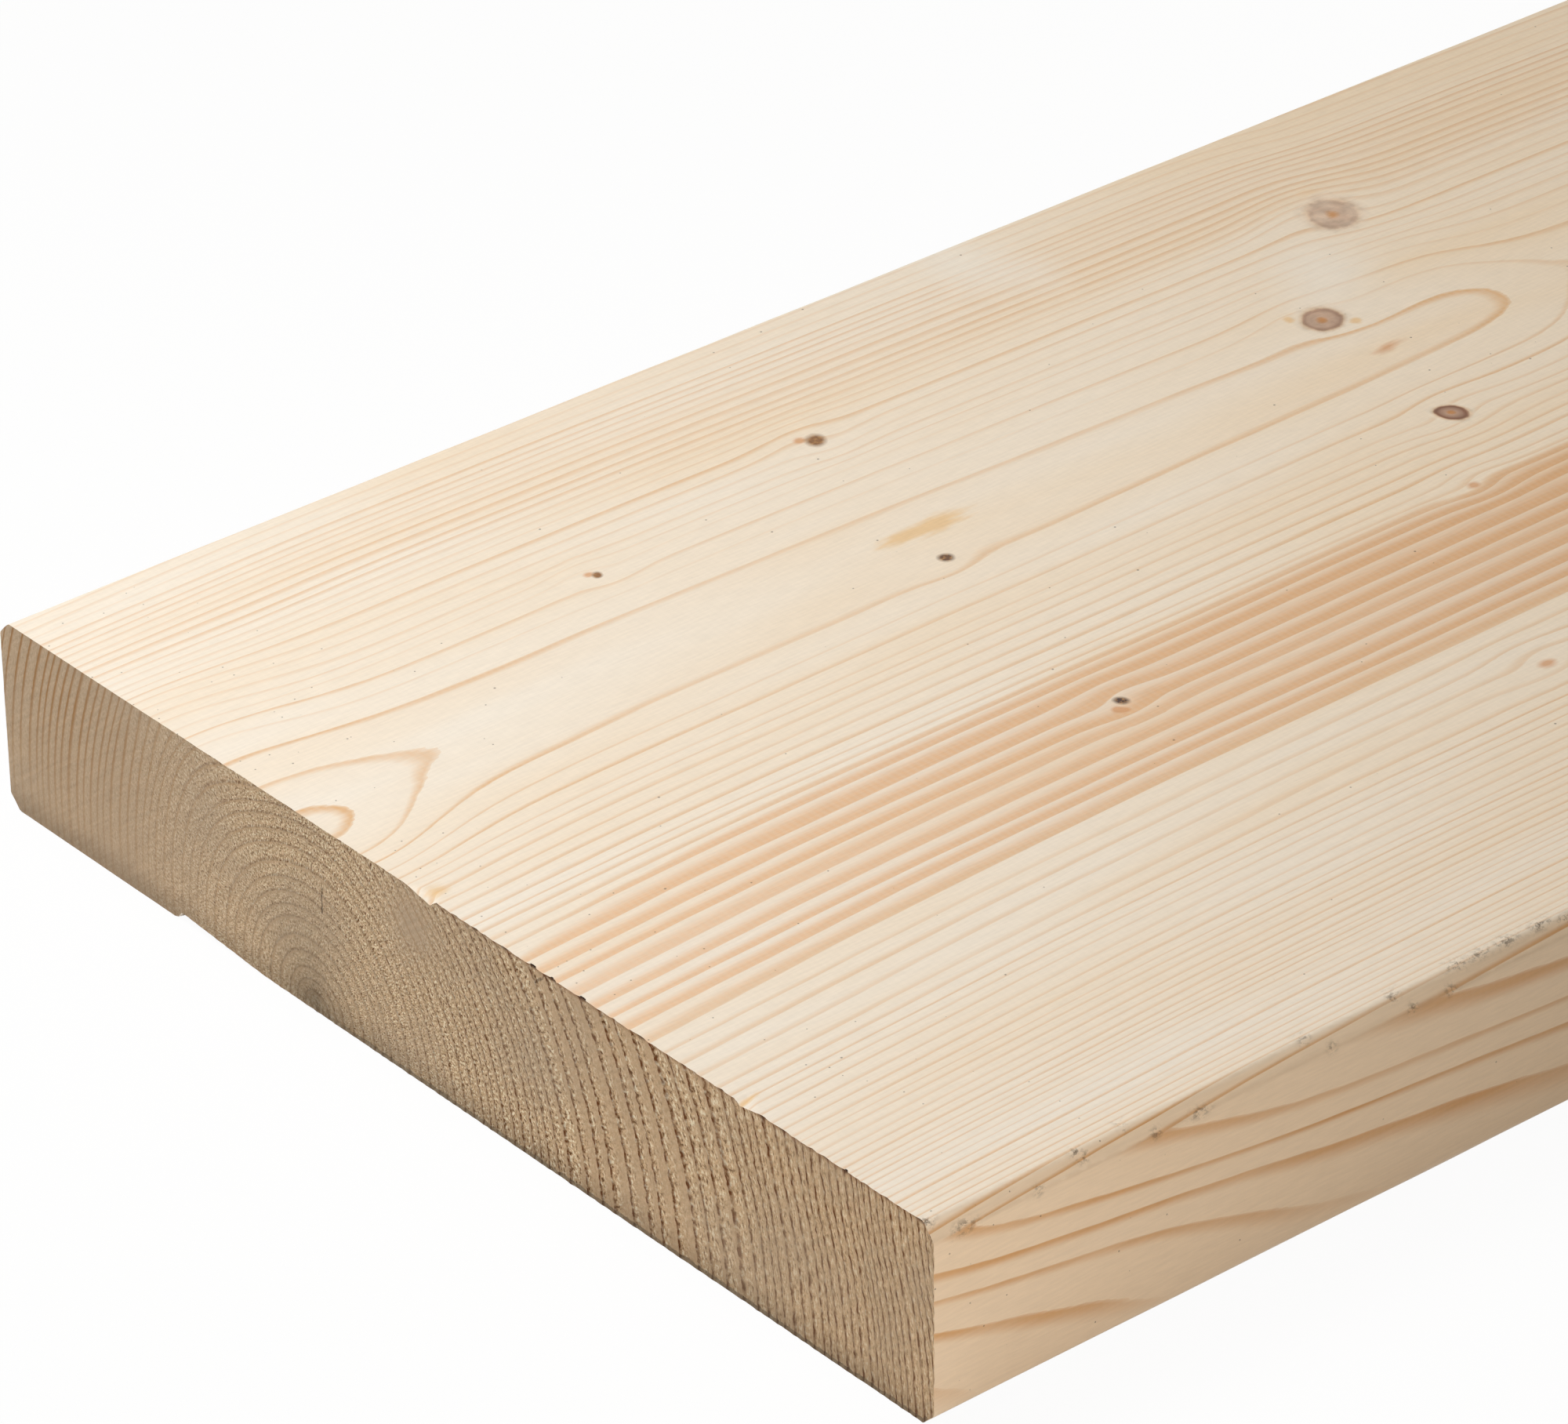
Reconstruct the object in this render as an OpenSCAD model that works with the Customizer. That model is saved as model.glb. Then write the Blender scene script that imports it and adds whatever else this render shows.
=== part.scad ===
// Planed softwood plank: one piece of sawn timber, planed on four sides, with its
// long edges chamfered and its ends cross-cut square.
// Millimetres. The origin is at the middle of the underside, +X runs along the grain,
// +Y across the face to the plank's left side and +Z up out of the upper face.
// The sawn end at -X has three small break-outs where the saw tore the wood.

/* [Stock] */
// Length along the grain
plank_length = 1800; // [900:300:6000]
// Width of the planed face
plank_width = 295; // [260:1:400]
// Thickness between the two planed faces
plank_thickness = 45; // [25:1:100]

/* [Long edges] */
// Leg of the chamfer planed on both upper long edges
upper_chamfer = 3; // [1:0.5:8]
// Leg of the chamfer planed on both lower long edges
lower_chamfer = 3; // [1:0.5:8]

/* [Break-out under the sawn end] */
// Distance of its steep side from the left side of the plank
lower_chip_offset = 60; // [20:1:120]
// Width over which it thins out to nothing, away from the left side
lower_chip_width = 28.5; // [10:0.5:60]
// Height of the break-out at its steep side
lower_chip_depth = 1.9; // [0.5:0.1:4]
// How far it runs back along the underside
lower_chip_run = 9; // [3:1:30]

/* [Break-out over the sawn end, at a torn knot] */
// Distance of its steep side from the left side of the plank
knot_chip_offset = 145; // [100:1:180]
// Width over which it thins out to nothing, towards the left side
knot_chip_width = 8; // [4:0.5:30]
// Depth of the break-out at its steep side
knot_chip_depth = 1.4; // [0.4:0.1:4]
// How far it runs back along the upper face
knot_chip_run = 3; // [1:0.5:20]

/* [Break-out over the sawn end, at a torn splinter] */
// Distance of its steep side from the left side of the plank
splinter_chip_offset = 239; // [200:1:245]
// Width over which it thins out to nothing, away from the left side
splinter_chip_width = 6; // [3:0.5:12]
// Depth of the break-out at its steep side
splinter_chip_depth = 1; // [0.3:0.1:3]
// How far it runs back along the upper face
splinter_chip_run = 4; // [1:0.5:20]

/* [Tear] */
// Lean of the steep side of each break-out, off the upright
tear_lean = 40; // [0:5:60]

/* [Hidden] */

half_length = plank_length / 2;
half_width = plank_width / 2;
spruce = [0.91, 0.82, 0.69];

// Cross-section of the stock: a rectangle with its four corners planed off.
module stock_section() {
    polygon([
        [-half_width + lower_chamfer, 0],
        [half_width - lower_chamfer, 0],
        [half_width, lower_chamfer],
        [half_width, plank_thickness - upper_chamfer],
        [half_width - upper_chamfer, plank_thickness],
        [-half_width + upper_chamfer, plank_thickness],
        [-half_width, plank_thickness - upper_chamfer],
        [-half_width, lower_chamfer]
    ]);
}

// The section pulled along the grain, with both ends cut square.
module planed_stock() {
    rotate([90, 0, 90])
        linear_extrude(height = plank_length, center = true)
            stock_section();
}

// Wood torn off an edge of the sawn end. It has its full depth at the origin, thins out to
// nothing over its width towards -Y and over its run along +X, and has a steep side at +Y.
// The torn facet is the tilted top of one block, and a second, leaning block ends it.
module torn_wedge(width, depth, run) {
    tilt_across = atan(depth / width);
    tilt_along = atan(depth / run * cos(tilt_across));
    reach = 2 * (width + depth + run);
    translate([0, 0, depth])
        intersection() {
            rotate([tilt_across, 0, 0])
                rotate([0, tilt_along, 0])
                    translate([-reach, -reach, -reach])
                        cube([2 * reach, 2 * reach, reach]);
            rotate([tear_lean, 0, 0])
                translate([-reach, -reach, -reach])
                    cube([2 * reach, reach, 2 * reach]);
        }
}

// Puts a break-out on the sawn end, at a distance from the left side and at a height.
module at_sawn_end(offset, height) {
    translate([-half_length, half_width - offset, height])
        children();
}

module plank() {
    color(spruce)
        difference() {
            planed_stock();
            at_sawn_end(lower_chip_offset, 0)
                torn_wedge(lower_chip_width, lower_chip_depth, lower_chip_run);
            at_sawn_end(knot_chip_offset, plank_thickness)
                rotate([180, 0, 0])
                    torn_wedge(knot_chip_width, knot_chip_depth, knot_chip_run);
            at_sawn_end(splinter_chip_offset, plank_thickness)
                mirror([0, 0, 1])
                    torn_wedge(splinter_chip_width, splinter_chip_depth, splinter_chip_run);
        }
}

plank();
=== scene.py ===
# %% [markdown]
# # A planed spruce plank
# This lesson dresses one plank of sawn timber. The plank itself is already there, as a plain solid
# with its chamfers and its torn corners. What is missing is the wood: growth rings that agree on every
# face, knots that the rings bend round, the rough sawn ends and the fine marks of the planer.
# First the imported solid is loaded, because every size below is taken from it.

# %% Load the plank and measure it
import math

import bpy
import numpy as np
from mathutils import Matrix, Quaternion, Vector, noise
from mathutils.geometry import delaunay_2d_cdt


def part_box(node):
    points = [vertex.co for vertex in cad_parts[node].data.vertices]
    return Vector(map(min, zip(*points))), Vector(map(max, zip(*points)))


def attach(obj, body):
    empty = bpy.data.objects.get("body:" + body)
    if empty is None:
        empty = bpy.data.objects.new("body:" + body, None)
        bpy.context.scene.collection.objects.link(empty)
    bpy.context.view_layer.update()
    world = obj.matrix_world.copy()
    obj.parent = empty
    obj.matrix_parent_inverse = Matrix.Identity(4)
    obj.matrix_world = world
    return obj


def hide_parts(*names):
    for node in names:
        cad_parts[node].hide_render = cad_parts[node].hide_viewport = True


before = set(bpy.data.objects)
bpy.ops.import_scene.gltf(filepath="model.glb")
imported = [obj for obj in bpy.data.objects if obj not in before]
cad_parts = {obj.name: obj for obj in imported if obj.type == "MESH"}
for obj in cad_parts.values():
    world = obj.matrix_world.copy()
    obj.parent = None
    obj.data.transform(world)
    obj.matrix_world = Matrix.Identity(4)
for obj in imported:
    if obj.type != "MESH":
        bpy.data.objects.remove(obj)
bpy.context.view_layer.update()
low_corner, high_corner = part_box("plank")
MM = 0.001
length, width, thickness = (high_corner - low_corner) / MM
half_width = width / 2
scene = bpy.context.scene
print(f"plank: {length:.0f} x {width:.0f} x {thickness:.0f} mm")

# %% [markdown]
# ## Where things are
# A carpenter measures a plank from its sawn end, so this lesson does too: x is the distance in
# millimetres from the near end along the grain, y is the distance across from the middle, and z is the
# height over the underside. One function turns such places into Blender's metres.

# %% From plank millimetres to metres
sawn_end = Vector((low_corner.x, 0.0, low_corner.z))


def to_metres(places):
    """Places in plank millimetres, as rows of x, y, z, in metres in the shared frame."""
    return np.asarray(places, float) * MM + np.array(sawn_end)


print("the sawn end lies at", tuple(round(v, 4) for v in sawn_end))

# %% [markdown]
# ## The camera
# The plank is seen from above its near right corner, from a long way off for its size, so its long
# edges hardly run together. A long lens gives that. The camera stands where the corners of the sawn end
# and the long edges fall on the picture as they do in the photograph, turned by less than a degree.

# %% Set up the camera
camera_stand = Vector((-823.0, -1105.6, 902.9))
camera_aim = Vector((98.1, 12.6, 45.0))
camera_roll = math.radians(-0.7)
camera_lens = 191.6

camera_data = bpy.data.cameras.new("camera")
camera_data.lens = camera_lens
camera_data.sensor_width = 36.0
camera = bpy.data.objects.new("camera", camera_data)
camera.location = to_metres(camera_stand)
camera.rotation_mode = "QUATERNION"
look = (camera_aim - camera_stand).to_track_quat("-Z", "Y")
camera.rotation_quaternion = look @ Quaternion((0, 0, 1), camera_roll)
scene.collection.objects.link(camera)
scene.camera = camera
scene.view_settings.view_transform = "Standard"
print(f"camera {(camera_aim - camera_stand).length:.0f} mm from its aim, lens {camera_lens} mm")

# %% [markdown]
# ## How a tree makes the pattern
# The lines on a plank are one thing seen from four sides: the growth rings are long nested tubes round
# the pith, and each face of the plank cuts through them. A flat wood texture on each face would break
# at the edges. So the rings are worked out once, as a number at every point of the log: 17.0 is the
# edge of the seventeenth ring, 17.5 is halfway through the next. The pith lies at the underside, left
# of the middle, and it bends a little where the tree had a whorl of branches.

# %% Count the rings from the pith outwards
pith_across = 42.0
pith_height = 0.5
pith_drift = -0.010
pith_bend = 5.6
pith_bend_reach = 90.0
pith_lean = 3.9
outer_start, outer_full = 110.0, 170.0
outer_rise = 4.0
outer_middle, outer_spread = 28.0, 4.9
# Radius at which a run of years starts, and how wide its rings are, on either side of the pith.
right_runs = ((0, 3.1), (44, 2.67), (80, 4.6), (138, 2.7), (165, 2.0))
left_runs = ((0, 3.1), (44, 2.67), (78, 2.4), (100, 2.9))
run_blend = 2.0
# How far ring widths swing between good and bad years, and over how many millimetres.
year_swings = ((0.17, 17.0), (0.16, 7.3))
swing_from = 45.0

table_step = 0.5
table_radius = np.arange(0.0, 320.0, table_step)


def ring_table(runs):
    """Number of rings between the pith and each radius of the table."""
    widths = np.full_like(table_radius, runs[0][1])
    for (_, width_before), (start, width_after) in zip(runs[:-1], runs[1:]):
        widths += (width_after - width_before) / (1 + np.exp(-(table_radius - start) / run_blend))
    for swing, span in year_swings:
        widths *= 1 + swing * np.sin(2 * math.pi * (table_radius - swing_from) / span)
    return np.cumsum(table_step / widths) - table_step / widths[0]


def left_of_pith(x, y, z):
    """Distance of a point to the left of the pith, with the pith's bend and the lean of the log."""
    bend = pith_bend * (1 - np.exp(-x / pith_bend_reach))
    return y - pith_across - pith_drift * x - bend - pith_lean * z / thickness


def from_pith(aside, z):
    """Distance of a point from the pith. Far out on the right the rings stand almost upright."""
    round_rings = np.hypot(aside, z - pith_height)
    upright_rings = -aside + outer_rise / (1 + np.exp((outer_middle - z) / outer_spread))
    outer = np.clip((-aside - outer_start) / (outer_full - outer_start), 0, 1)
    outer = outer * outer * (3 - 2 * outer)
    return round_rings + (upright_rings - round_rings) * outer


right_count = ring_table(right_runs)
left_count = ring_table(left_runs)
right_side_rings = np.interp(half_width + pith_across, table_radius, right_count)
print(f"rings from the pith to the right side: {right_side_rings:.0f}")

# %% [markdown]
# ## Knots
# A knot is a branch that the trunk grew round. Every branch starts at the pith, so a knot is a thin cone
# from the pith to the point where it leaves the plank. The rings round it part like water round a post.
# Each knot is written as the place where it shows, and its radius there. The first ones are those that
# show in the photograph. The others stand in the same kind of whorls further along the plank.

# %% List the knots
upper = thickness
# Place along, across and up, radius, and tone: 0 only curls the grain, over 0.8 is a dark pin knot.
knots = (
    (331.0, 100.0, upper, 5.2, 0.32),
    (295.0, 64.8, upper, 4.1, 0.55),
    (287.0, 15.8, upper, 2.9, 0.65),
    (104.5, 80.8, upper, 1.1, 0.85),
    (176.0, 95.5, upper, 2.2, 0.86),
    (164.0, 39.0, upper, 1.7, 0.95),
    (152.5, -28.5, upper, 1.45, 1.0),
    (227.0, -72.5, upper, 2.0, 0.0),
    (270.0, -10.0, upper, 1.3, 0.0),
    (520.0, -96.0, upper, 1.8, 0.9),
    (612.0, 110.0, upper, 2.0, 0.8),
    (668.0, 82.0, upper, 5.2, 0.5),
    (651.0, 18.0, upper, 4.6, 0.6),
    (690.0, -84.0, upper, 6.4, 0.45),
    (700.0, -half_width, 20.0, 5.5, 0.5),
    (845.0, 40.0, upper, 1.6, 0.9),
    (1012.0, 118.0, upper, 6.0, 0.4),
    (985.0, 61.0, upper, 4.8, 0.6),
    (996.0, -20.0, upper, 4.0, 0.6),
    (1040.0, half_width, 17.0, 5.0, 0.5),
    (1190.0, -60.0, upper, 1.8, 0.9),
    (1378.0, 95.0, upper, 5.0, 0.5),
    (1350.0, 36.0, upper, 4.2, 0.6),
    (1402.0, -76.0, upper, 6.0, 0.45),
    (1415.0, -half_width, 24.0, 4.8, 0.5),
    (1560.0, 12.0, upper, 1.6, 0.9),
    (1702.0, 70.0, upper, 4.8, 0.55),
    (1715.0, -38.0, upper, 5.4, 0.5),
)
branch_rise = 0.35
branch_lean = 25.0
branch_thinnest, branch_thickest = 0.05, 1.2
parting_reach, parting_least = 1.2, 4.0
parting_strength = 0.85
grain_stretch = 0.6
parting_upright = 0.35
far_away = 9.0


def knot_distances(x, y, z):
    """Distance to the nearest knot in its radii, how dark it is, and how far it pushes the grain."""
    nearest = np.full_like(x, far_away)
    darkness = np.zeros_like(x)
    push_y = np.zeros_like(x)
    push_z = np.zeros_like(x)
    for knot_x, knot_y, knot_z, radius, tone in knots:
        across = knot_y - pith_across - pith_bend
        if knot_z == upper:
            across = min(max(across, -branch_lean), branch_lean)
        out = np.hypot(across, knot_z - pith_height)
        axis = np.array([branch_rise * out, across, knot_z - pith_height])
        span = np.linalg.norm(axis)
        axis = axis / span
        from_exit = np.stack([x - knot_x, y - knot_y, z - knot_z])
        along = np.tensordot(axis, from_exit, 1)
        aside = from_exit - axis[:, None] * along
        taper = np.clip(1 + along / span, branch_thinnest, branch_thickest)
        away = np.linalg.norm(aside, axis=0) / (radius * taper)
        closer = away < nearest
        nearest = np.where(closer, away, nearest)
        darkness = np.where(closer, tone, darkness)
        spread = (aside[0] * grain_stretch) ** 2 + aside[1] ** 2 + aside[2] ** 2
        parting = parting_strength * np.exp(-spread / (parting_reach * radius * taper + parting_least) ** 2)
        push_y -= aside[1] * parting
        push_z -= aside[2] * parting * parting_upright
    return nearest, darkness, push_y, push_z


print(len(knots), "knots")

# %% [markdown]
# ## The ring number
# Now the pieces come together. A trunk gets thinner upwards, so the ring number creeps up along the
# grain, and it takes a step at each whorl of branches, where the trunk lost wood to them. At the sawn
# end the rings swell outwards round an old whorl, which draws the nested arches there. A slow waviness
# keeps the lines from looking ruled.

# %% The ring number at any point
ring_phase = 1.80
taper_rings = 0.0020
whorl_rings = 1.44
whorl_blend = 13.0
whorls = (341.0, 706.0, 1030.0, 1418.0, 1733.0)
# Place along and across, reach along and across, how many rings it shifts, and how fast it fades downwards.
swellings = (
    (0.0, 31.0, 21.0, 21.0, -1.6, 2),
    (0.0, 89.5, 29.5, 21.0, -2.2, 2),
    (0.0, -110.0, 200.0, 75.0, -1.3, 0),
    (72.0, 46.0, 30.0, 14.0, 0.22, 2),
)
# Wavelength along the grain and height of each wave in the rings.
ring_waves = ((233.0, 0.16), (383.0, 0.30), (82.0, 0.07))
wave_slant, wave_turn, wave_reach = 0.02, 1.7, 60.0


def ring_number(x, y, z):
    """Ring number of each point, how far left of the pith it is, and the nearest knot and its tone."""
    nearest, darkness, push_y, push_z = knot_distances(x, y, z)
    y = y + push_y
    z = z + push_z
    aside = left_of_pith(x, y, z)
    radius = from_pith(aside, z)
    sway = np.clip(np.abs(aside) / wave_reach, 0, 1)
    for turn, (wave_length, wave_height) in enumerate(ring_waves):
        angle = 2 * math.pi * x / wave_length + wave_slant * y + wave_turn * turn
        radius = radius + sway * wave_height * np.sin(angle)
    on_right = np.interp(radius, table_radius, right_count)
    on_left = np.interp(radius, table_radius, left_count)
    count = np.where(aside < 0, on_right, on_left) + ring_phase + taper_rings * x
    for whorl in whorls:
        count = count + whorl_rings * 0.5 * (1 + np.tanh((x - whorl) / whorl_blend))
    for place_x, place_y, reach_x, reach_y, shift, fade in swellings:
        near = np.exp(-(((x - place_x) / reach_x) ** 2) - ((y - place_y) / reach_y) ** 2)
        count = count + shift * near * np.clip(z / thickness, 0, 1) ** fade
    return count, aside, nearest, darkness


probe = [np.array([v]) for v in (35.0, 45.3, thickness)]
print(f"ring number at the tip of the larger arch: {ring_number(*probe)[0][0]:.2f}")

# %% [markdown]
# ## Folding a wrapper round the plank
# The skin of the plank is made like a paper wrapper. It is laid flat, one way round the section and one
# way along the plank, and filled with points: close together at the sawn end and round the knots, wide
# apart where nothing happens. Blender joins the points to triangles, and the wrapper is then folded
# round the section. That keeps all edges straight, leaves no gap, and the flat wrapper is also the
# plank's texture map.

# %% The section of the plank as a line that runs round it
chamfer = 3.0
arris_round, round_samples = 0.45, 5
chamfer_cell = 1.5
corners = np.array(
    [
        (0.0, 0.0),
        (half_width - chamfer, 0.0),
        (half_width, chamfer),
        (half_width, thickness - chamfer),
        (half_width - chamfer, thickness),
        (-half_width + chamfer, thickness),
        (-half_width, thickness - chamfer),
        (-half_width, chamfer),
        (-half_width + chamfer, 0.0),
        (0.0, 0.0),
    ]
)
corner_at = np.concatenate([[0.0], np.cumsum(np.linalg.norm(np.diff(corners, axis=0), axis=1))])
girth = corner_at[-1]
# Edges of the section, counted from the left half of the underside, which is 0.
chamfer_1, left_side, chamfer_2, upper_face, chamfer_3, right_side, chamfer_4 = range(1, 8)


def around(s):
    """The y and z of places s millimetres round the section, with the arrises a little rounded."""
    total = np.zeros((len(s), 2))
    steps = np.linspace(-arris_round, arris_round, round_samples)
    for step in steps:
        at = np.mod(s + step, girth)
        total[:, 0] += np.interp(at, corner_at, corners[:, 0])
        total[:, 1] += np.interp(at, corner_at, corners[:, 1])
    return total / len(steps)


def rows_around(upper_cell, side_cell, under_cell):
    """Places round the section at which the wrapper has points, with extra ones at each arris."""
    cells = [under_cell, chamfer_cell, side_cell, chamfer_cell, upper_cell]
    cells += cells[-2::-1]
    rows = []
    for edge, cell in enumerate(cells):
        first, last = corner_at[edge], corner_at[edge + 1]
        inner_first = first if edge == 0 else first + arris_round
        inner_last = last if edge == len(cells) - 1 else last - arris_round
        count = max(1, round((inner_last - inner_first) / cell))
        rows.extend(np.linspace(inner_first, inner_last, count + 1))
        if edge < len(cells) - 1:
            rows.append(last)
    return np.array(rows)


print(f"girth of the section {girth:.1f} mm")

# %% [markdown]
# The points are laid in rows, in bands along the plank that each have their own spacing. An even grid
# would be simpler, but it would need far more points to be fine enough at the sawn end.

# %% Lay out the bands of points
sight = 460.0
fold = length / 2
# Places along the plank, and the rows of points round the section at each of them.
bands = (
    (np.array([0.0, 0.45, 0.95, 1.5, 2.2, 3.0]), rows_around(0.9, 0.9, 1.2)),
    (np.array([4.2, 5.6, 7.2, 9.0]), rows_around(1.8, 1.8, 2.4)),
    (np.arange(12.0, sight, 5.0), rows_around(2.5, 2.6, 4.5)),
    (np.linspace(sight + 6, fold, 32), rows_around(2.9, 3.2, 4.9)),
    (np.linspace(fold + 14, length - 14, 62), rows_around(2.9, 3.2, 4.9)),
    (length - np.array([7.0, 3.5, 1.5, 0.0]), rows_around(1.8, 1.8, 2.4)),
)
laid_out = [np.array([(s, x) for x in stations for s in rows]) for stations, rows in bands]
flat_points = np.concatenate(laid_out)
print(f"{len(flat_points)} points in {len(bands)} bands")

# %% Add closer points round the knots and along the dirt
# Each knot gets a disc of points, which the coarse points leave free.
knot_fine, least_step = 5.0, 0.45
knot_field, field_margin, field_gap = 2.6, 6.0, 0.8
for knot_x, knot_y, knot_z, radius, _ in knots:
    edge = upper_face if knot_z == upper else (right_side if knot_y < 0 else left_side)
    knot_s = corner_at[edge] + np.linalg.norm(np.array([knot_y, knot_z]) - corners[edge])
    reach = max(knot_field * radius, radius + field_margin)
    apart = np.hypot(flat_points[:, 0] - knot_s, flat_points[:, 1] - knot_x)
    flat_points = flat_points[apart > reach + field_gap]
    step = max(radius / knot_fine, least_step)
    grid = np.mgrid[-reach : reach + step : step, -reach : reach + step : step].reshape(2, -1).T
    grid = grid[np.hypot(grid[:, 0], grid[:, 1]) <= reach]
    flat_points = np.concatenate([flat_points, grid + (knot_s, knot_x)])

# Closer points along the near stretch of the upper right chamfer, where the dirt is.
grimy_from, grimy_to, grimy_step = 10.0, 175.0, 1.0
grimy_above, grimy_below, grimy_count = 0.8, 2.4, 11
grimy_places = np.arange(grimy_from, grimy_to, grimy_step)
grimy_edges = (corner_at[chamfer_3] - grimy_above, corner_at[right_side] + grimy_below)
grimy_rows = np.linspace(*grimy_edges, grimy_count)
grimy_points = np.array([(s, x) for x in grimy_places for s in grimy_rows])
flat_points = np.concatenate([flat_points, grimy_points])
print(f"{len(flat_points)} points with the closer ones")

# %% Join the points to triangles
# Triangles over all the points, or only inside a given rim, and the distance at which points merge.
over_all, inside_rim = 0, 1
skin_merge, end_merge = 1e-6, 1e-7
cloud = [Vector(p) for p in flat_points]
flat, _, skin, *_ = delaunay_2d_cdt(cloud, [], [], over_all, skin_merge, False)
flat = np.array(flat)
skin = np.array(skin)
print(f"wrapper: {len(flat)} points, {len(skin)} triangles")

# %% [markdown]
# The wrapper's first and last edge are the same line on the plank, so their points are joined. The two
# sawn ends are filled the same way: the points of the wrapper's rim, and a fine field of points inside.

# %% Close the seam, and a function that fills an end
touching = 1e-4
at_seam = np.flatnonzero(flat[:, 0] > girth - touching)
start_of = {round(x, 3): i for i, (s, x) in enumerate(flat) if s < touching}
joined = np.arange(len(flat))
for index in at_seam:
    joined[index] = start_of[round(flat[index, 1], 3)]

places = np.column_stack([flat[:, 1], around(flat[:, 0])])
end_cell_near, end_cell_far = 0.85, 1.7
jitter_share, rim_clear = 0.2, 0.6
jitter = np.random.default_rng(7)


def fill_end(x, cell):
    """Rim points of one sawn end, new points inside it, and faces that count the rim points first."""
    rim = np.flatnonzero(np.abs(flat[:, 1] - x) < touching)
    rim = rim[joined[rim] == rim]
    rim = rim[np.argsort(flat[rim, 0])]
    y, z = np.meshgrid(np.arange(-half_width + cell, half_width, cell), np.arange(cell, thickness, cell))
    inside = np.column_stack([y.ravel(), z.ravel()])
    inside += jitter.uniform(-jitter_share, jitter_share, inside.shape) * cell
    to_side = half_width - np.abs(inside[:, 0])
    to_face = np.minimum(inside[:, 1], thickness - inside[:, 1])
    off_rim = np.minimum(to_side, to_face) > rim_clear * cell
    inside = inside[off_rim & (to_side + to_face > chamfer + cell)]
    loop = [(i, (i + 1) % len(rim)) for i in range(len(rim))]
    cloud = [Vector(p) for p in places[rim, 1:]] + [Vector(p) for p in inside]
    _, _, faces, *_ = delaunay_2d_cdt(cloud, loop, [], inside_rim, end_merge, False)
    return rim, inside, np.array(faces)


print(len(at_seam), "points joined along the seam")

# %% Fill both ends and put the pieces together
pieces_of_mesh = [places]
faces_of_mesh = [joined[skin]]
end_start = len(places)
ends = []
for x, cell, flip in ((0.0, end_cell_near, True), (length, end_cell_far, False)):
    rim, inside, faces = fill_end(x, cell)
    names = np.concatenate([rim, end_start + np.arange(len(inside))])
    faces = names[faces]
    faces_of_mesh.append(faces[:, ::-1] if flip else faces)
    pieces_of_mesh.append(np.column_stack([np.full(len(inside), x), inside]))
    ends.append((rim, end_start, end_start + len(inside)))
    end_start += len(inside)
points = np.concatenate(pieces_of_mesh)
triangles = np.concatenate(faces_of_mesh)
is_end = np.concatenate([np.zeros(len(skin), bool), np.ones(len(triangles) - len(skin), bool)])
print(f"plank: {len(points)} points, {len(triangles)} triangles")

# %% [markdown]
# ## Torn corners
# Where the saw left the wood it broke out three small corners. The solid has them, so the skin is pressed
# into the same shapes here. The wood above or below a break-out is squeezed towards it, so that no
# faces fold over each other.

# %% Break-outs, as in the solid
tear_lean = math.tan(math.radians(40))
squeeze_height = 7.0
# Edge height, distance from the left side, width, depth, run and the way that it thins out.
break_outs = (
    (0.0, 60.0, 28.5, 1.9, 9.0, -1),
    (thickness, 145.0, 8.0, 1.4, 3.0, 1),
    (thickness, 239.0, 6.0, 1.0, 4.0, -1),
)
for edge_height, offset, tear_width, depth, run, way in break_outs:
    past = (points[:, 1] - (half_width - offset)) * way
    facet = depth * (1 - points[:, 0] / run - past / tear_width)
    steep = depth * (1 - points[:, 0] / run) + past / tear_lean
    level = np.clip(np.minimum(facet, steep), 0, None)
    from_edge = np.abs(points[:, 2] - edge_height)
    lift = level * np.clip(1 - from_edge / squeeze_height, 0, 1)
    points[:, 2] += lift if edge_height == 0 else -lift
print(len(break_outs), "break-outs pressed in")

# %% [markdown]
# ## Saw marks and worn arrises
# A cross-cut saw tears the soft early wood deeper than the hard late wood, so the rings stand out on the
# sawn end, and short fibres stay behind. It ran smoother towards the left side and in one patch near the
# middle. Along the upper arris the saw broke out small chips. All of it is cut into the wood and never
# added to it, so the plank keeps its size.

# %% Where the saw tore the ends and chipped the arris
fibre_pitch, tuft_pitch, tuft_least = 1.1, 7.7, 0.4
ridge_depth = 0.25
fibre_depth = 0.5
chip_pitch, chip_stretch = 3.0, (0, 1, 0.2)
chip_depth = 0.3
chip_height = 1.1
chip_edge, chip_full = 0.54, 0.7
rim_share = 0.5
chips_from, chips_full = 25.0, -5.0
smooth_from, smooth_to = 50.0, 105.0
smooth_share = 0.25
patch_across, patch_height, patch_reach, patch_smooth = 9.0, 36.0, 8.0, 0.8
fibre_seed, tuft_seed, chip_seed, wear_seed = 1, 2, 3, 4
# How far apart in the noise two seeds lie.
seed_steps = (17.3, 5.1, 9.7)


def bumps(places, pitch, seed):
    """Smooth noise from 0 to 1 at each place, with bumps about a pitch apart."""
    offset = Vector([seed * step for step in seed_steps])
    return np.array([noise.noise(Vector(p) / pitch + offset) for p in places]) * 0.5 + 0.5


def torn_share(y, z):
    """How torn the saw left the end: 1 is rough, and 0 would be smooth."""
    left = np.clip((y - smooth_from) / (smooth_to - smooth_from), 0, 1)
    patch = np.exp(-(((y - patch_across) / patch_reach) ** 2) - ((z - patch_height) / patch_reach) ** 2)
    return (1 - (1 - smooth_share) * left) * (1 - patch_smooth * patch)


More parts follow.
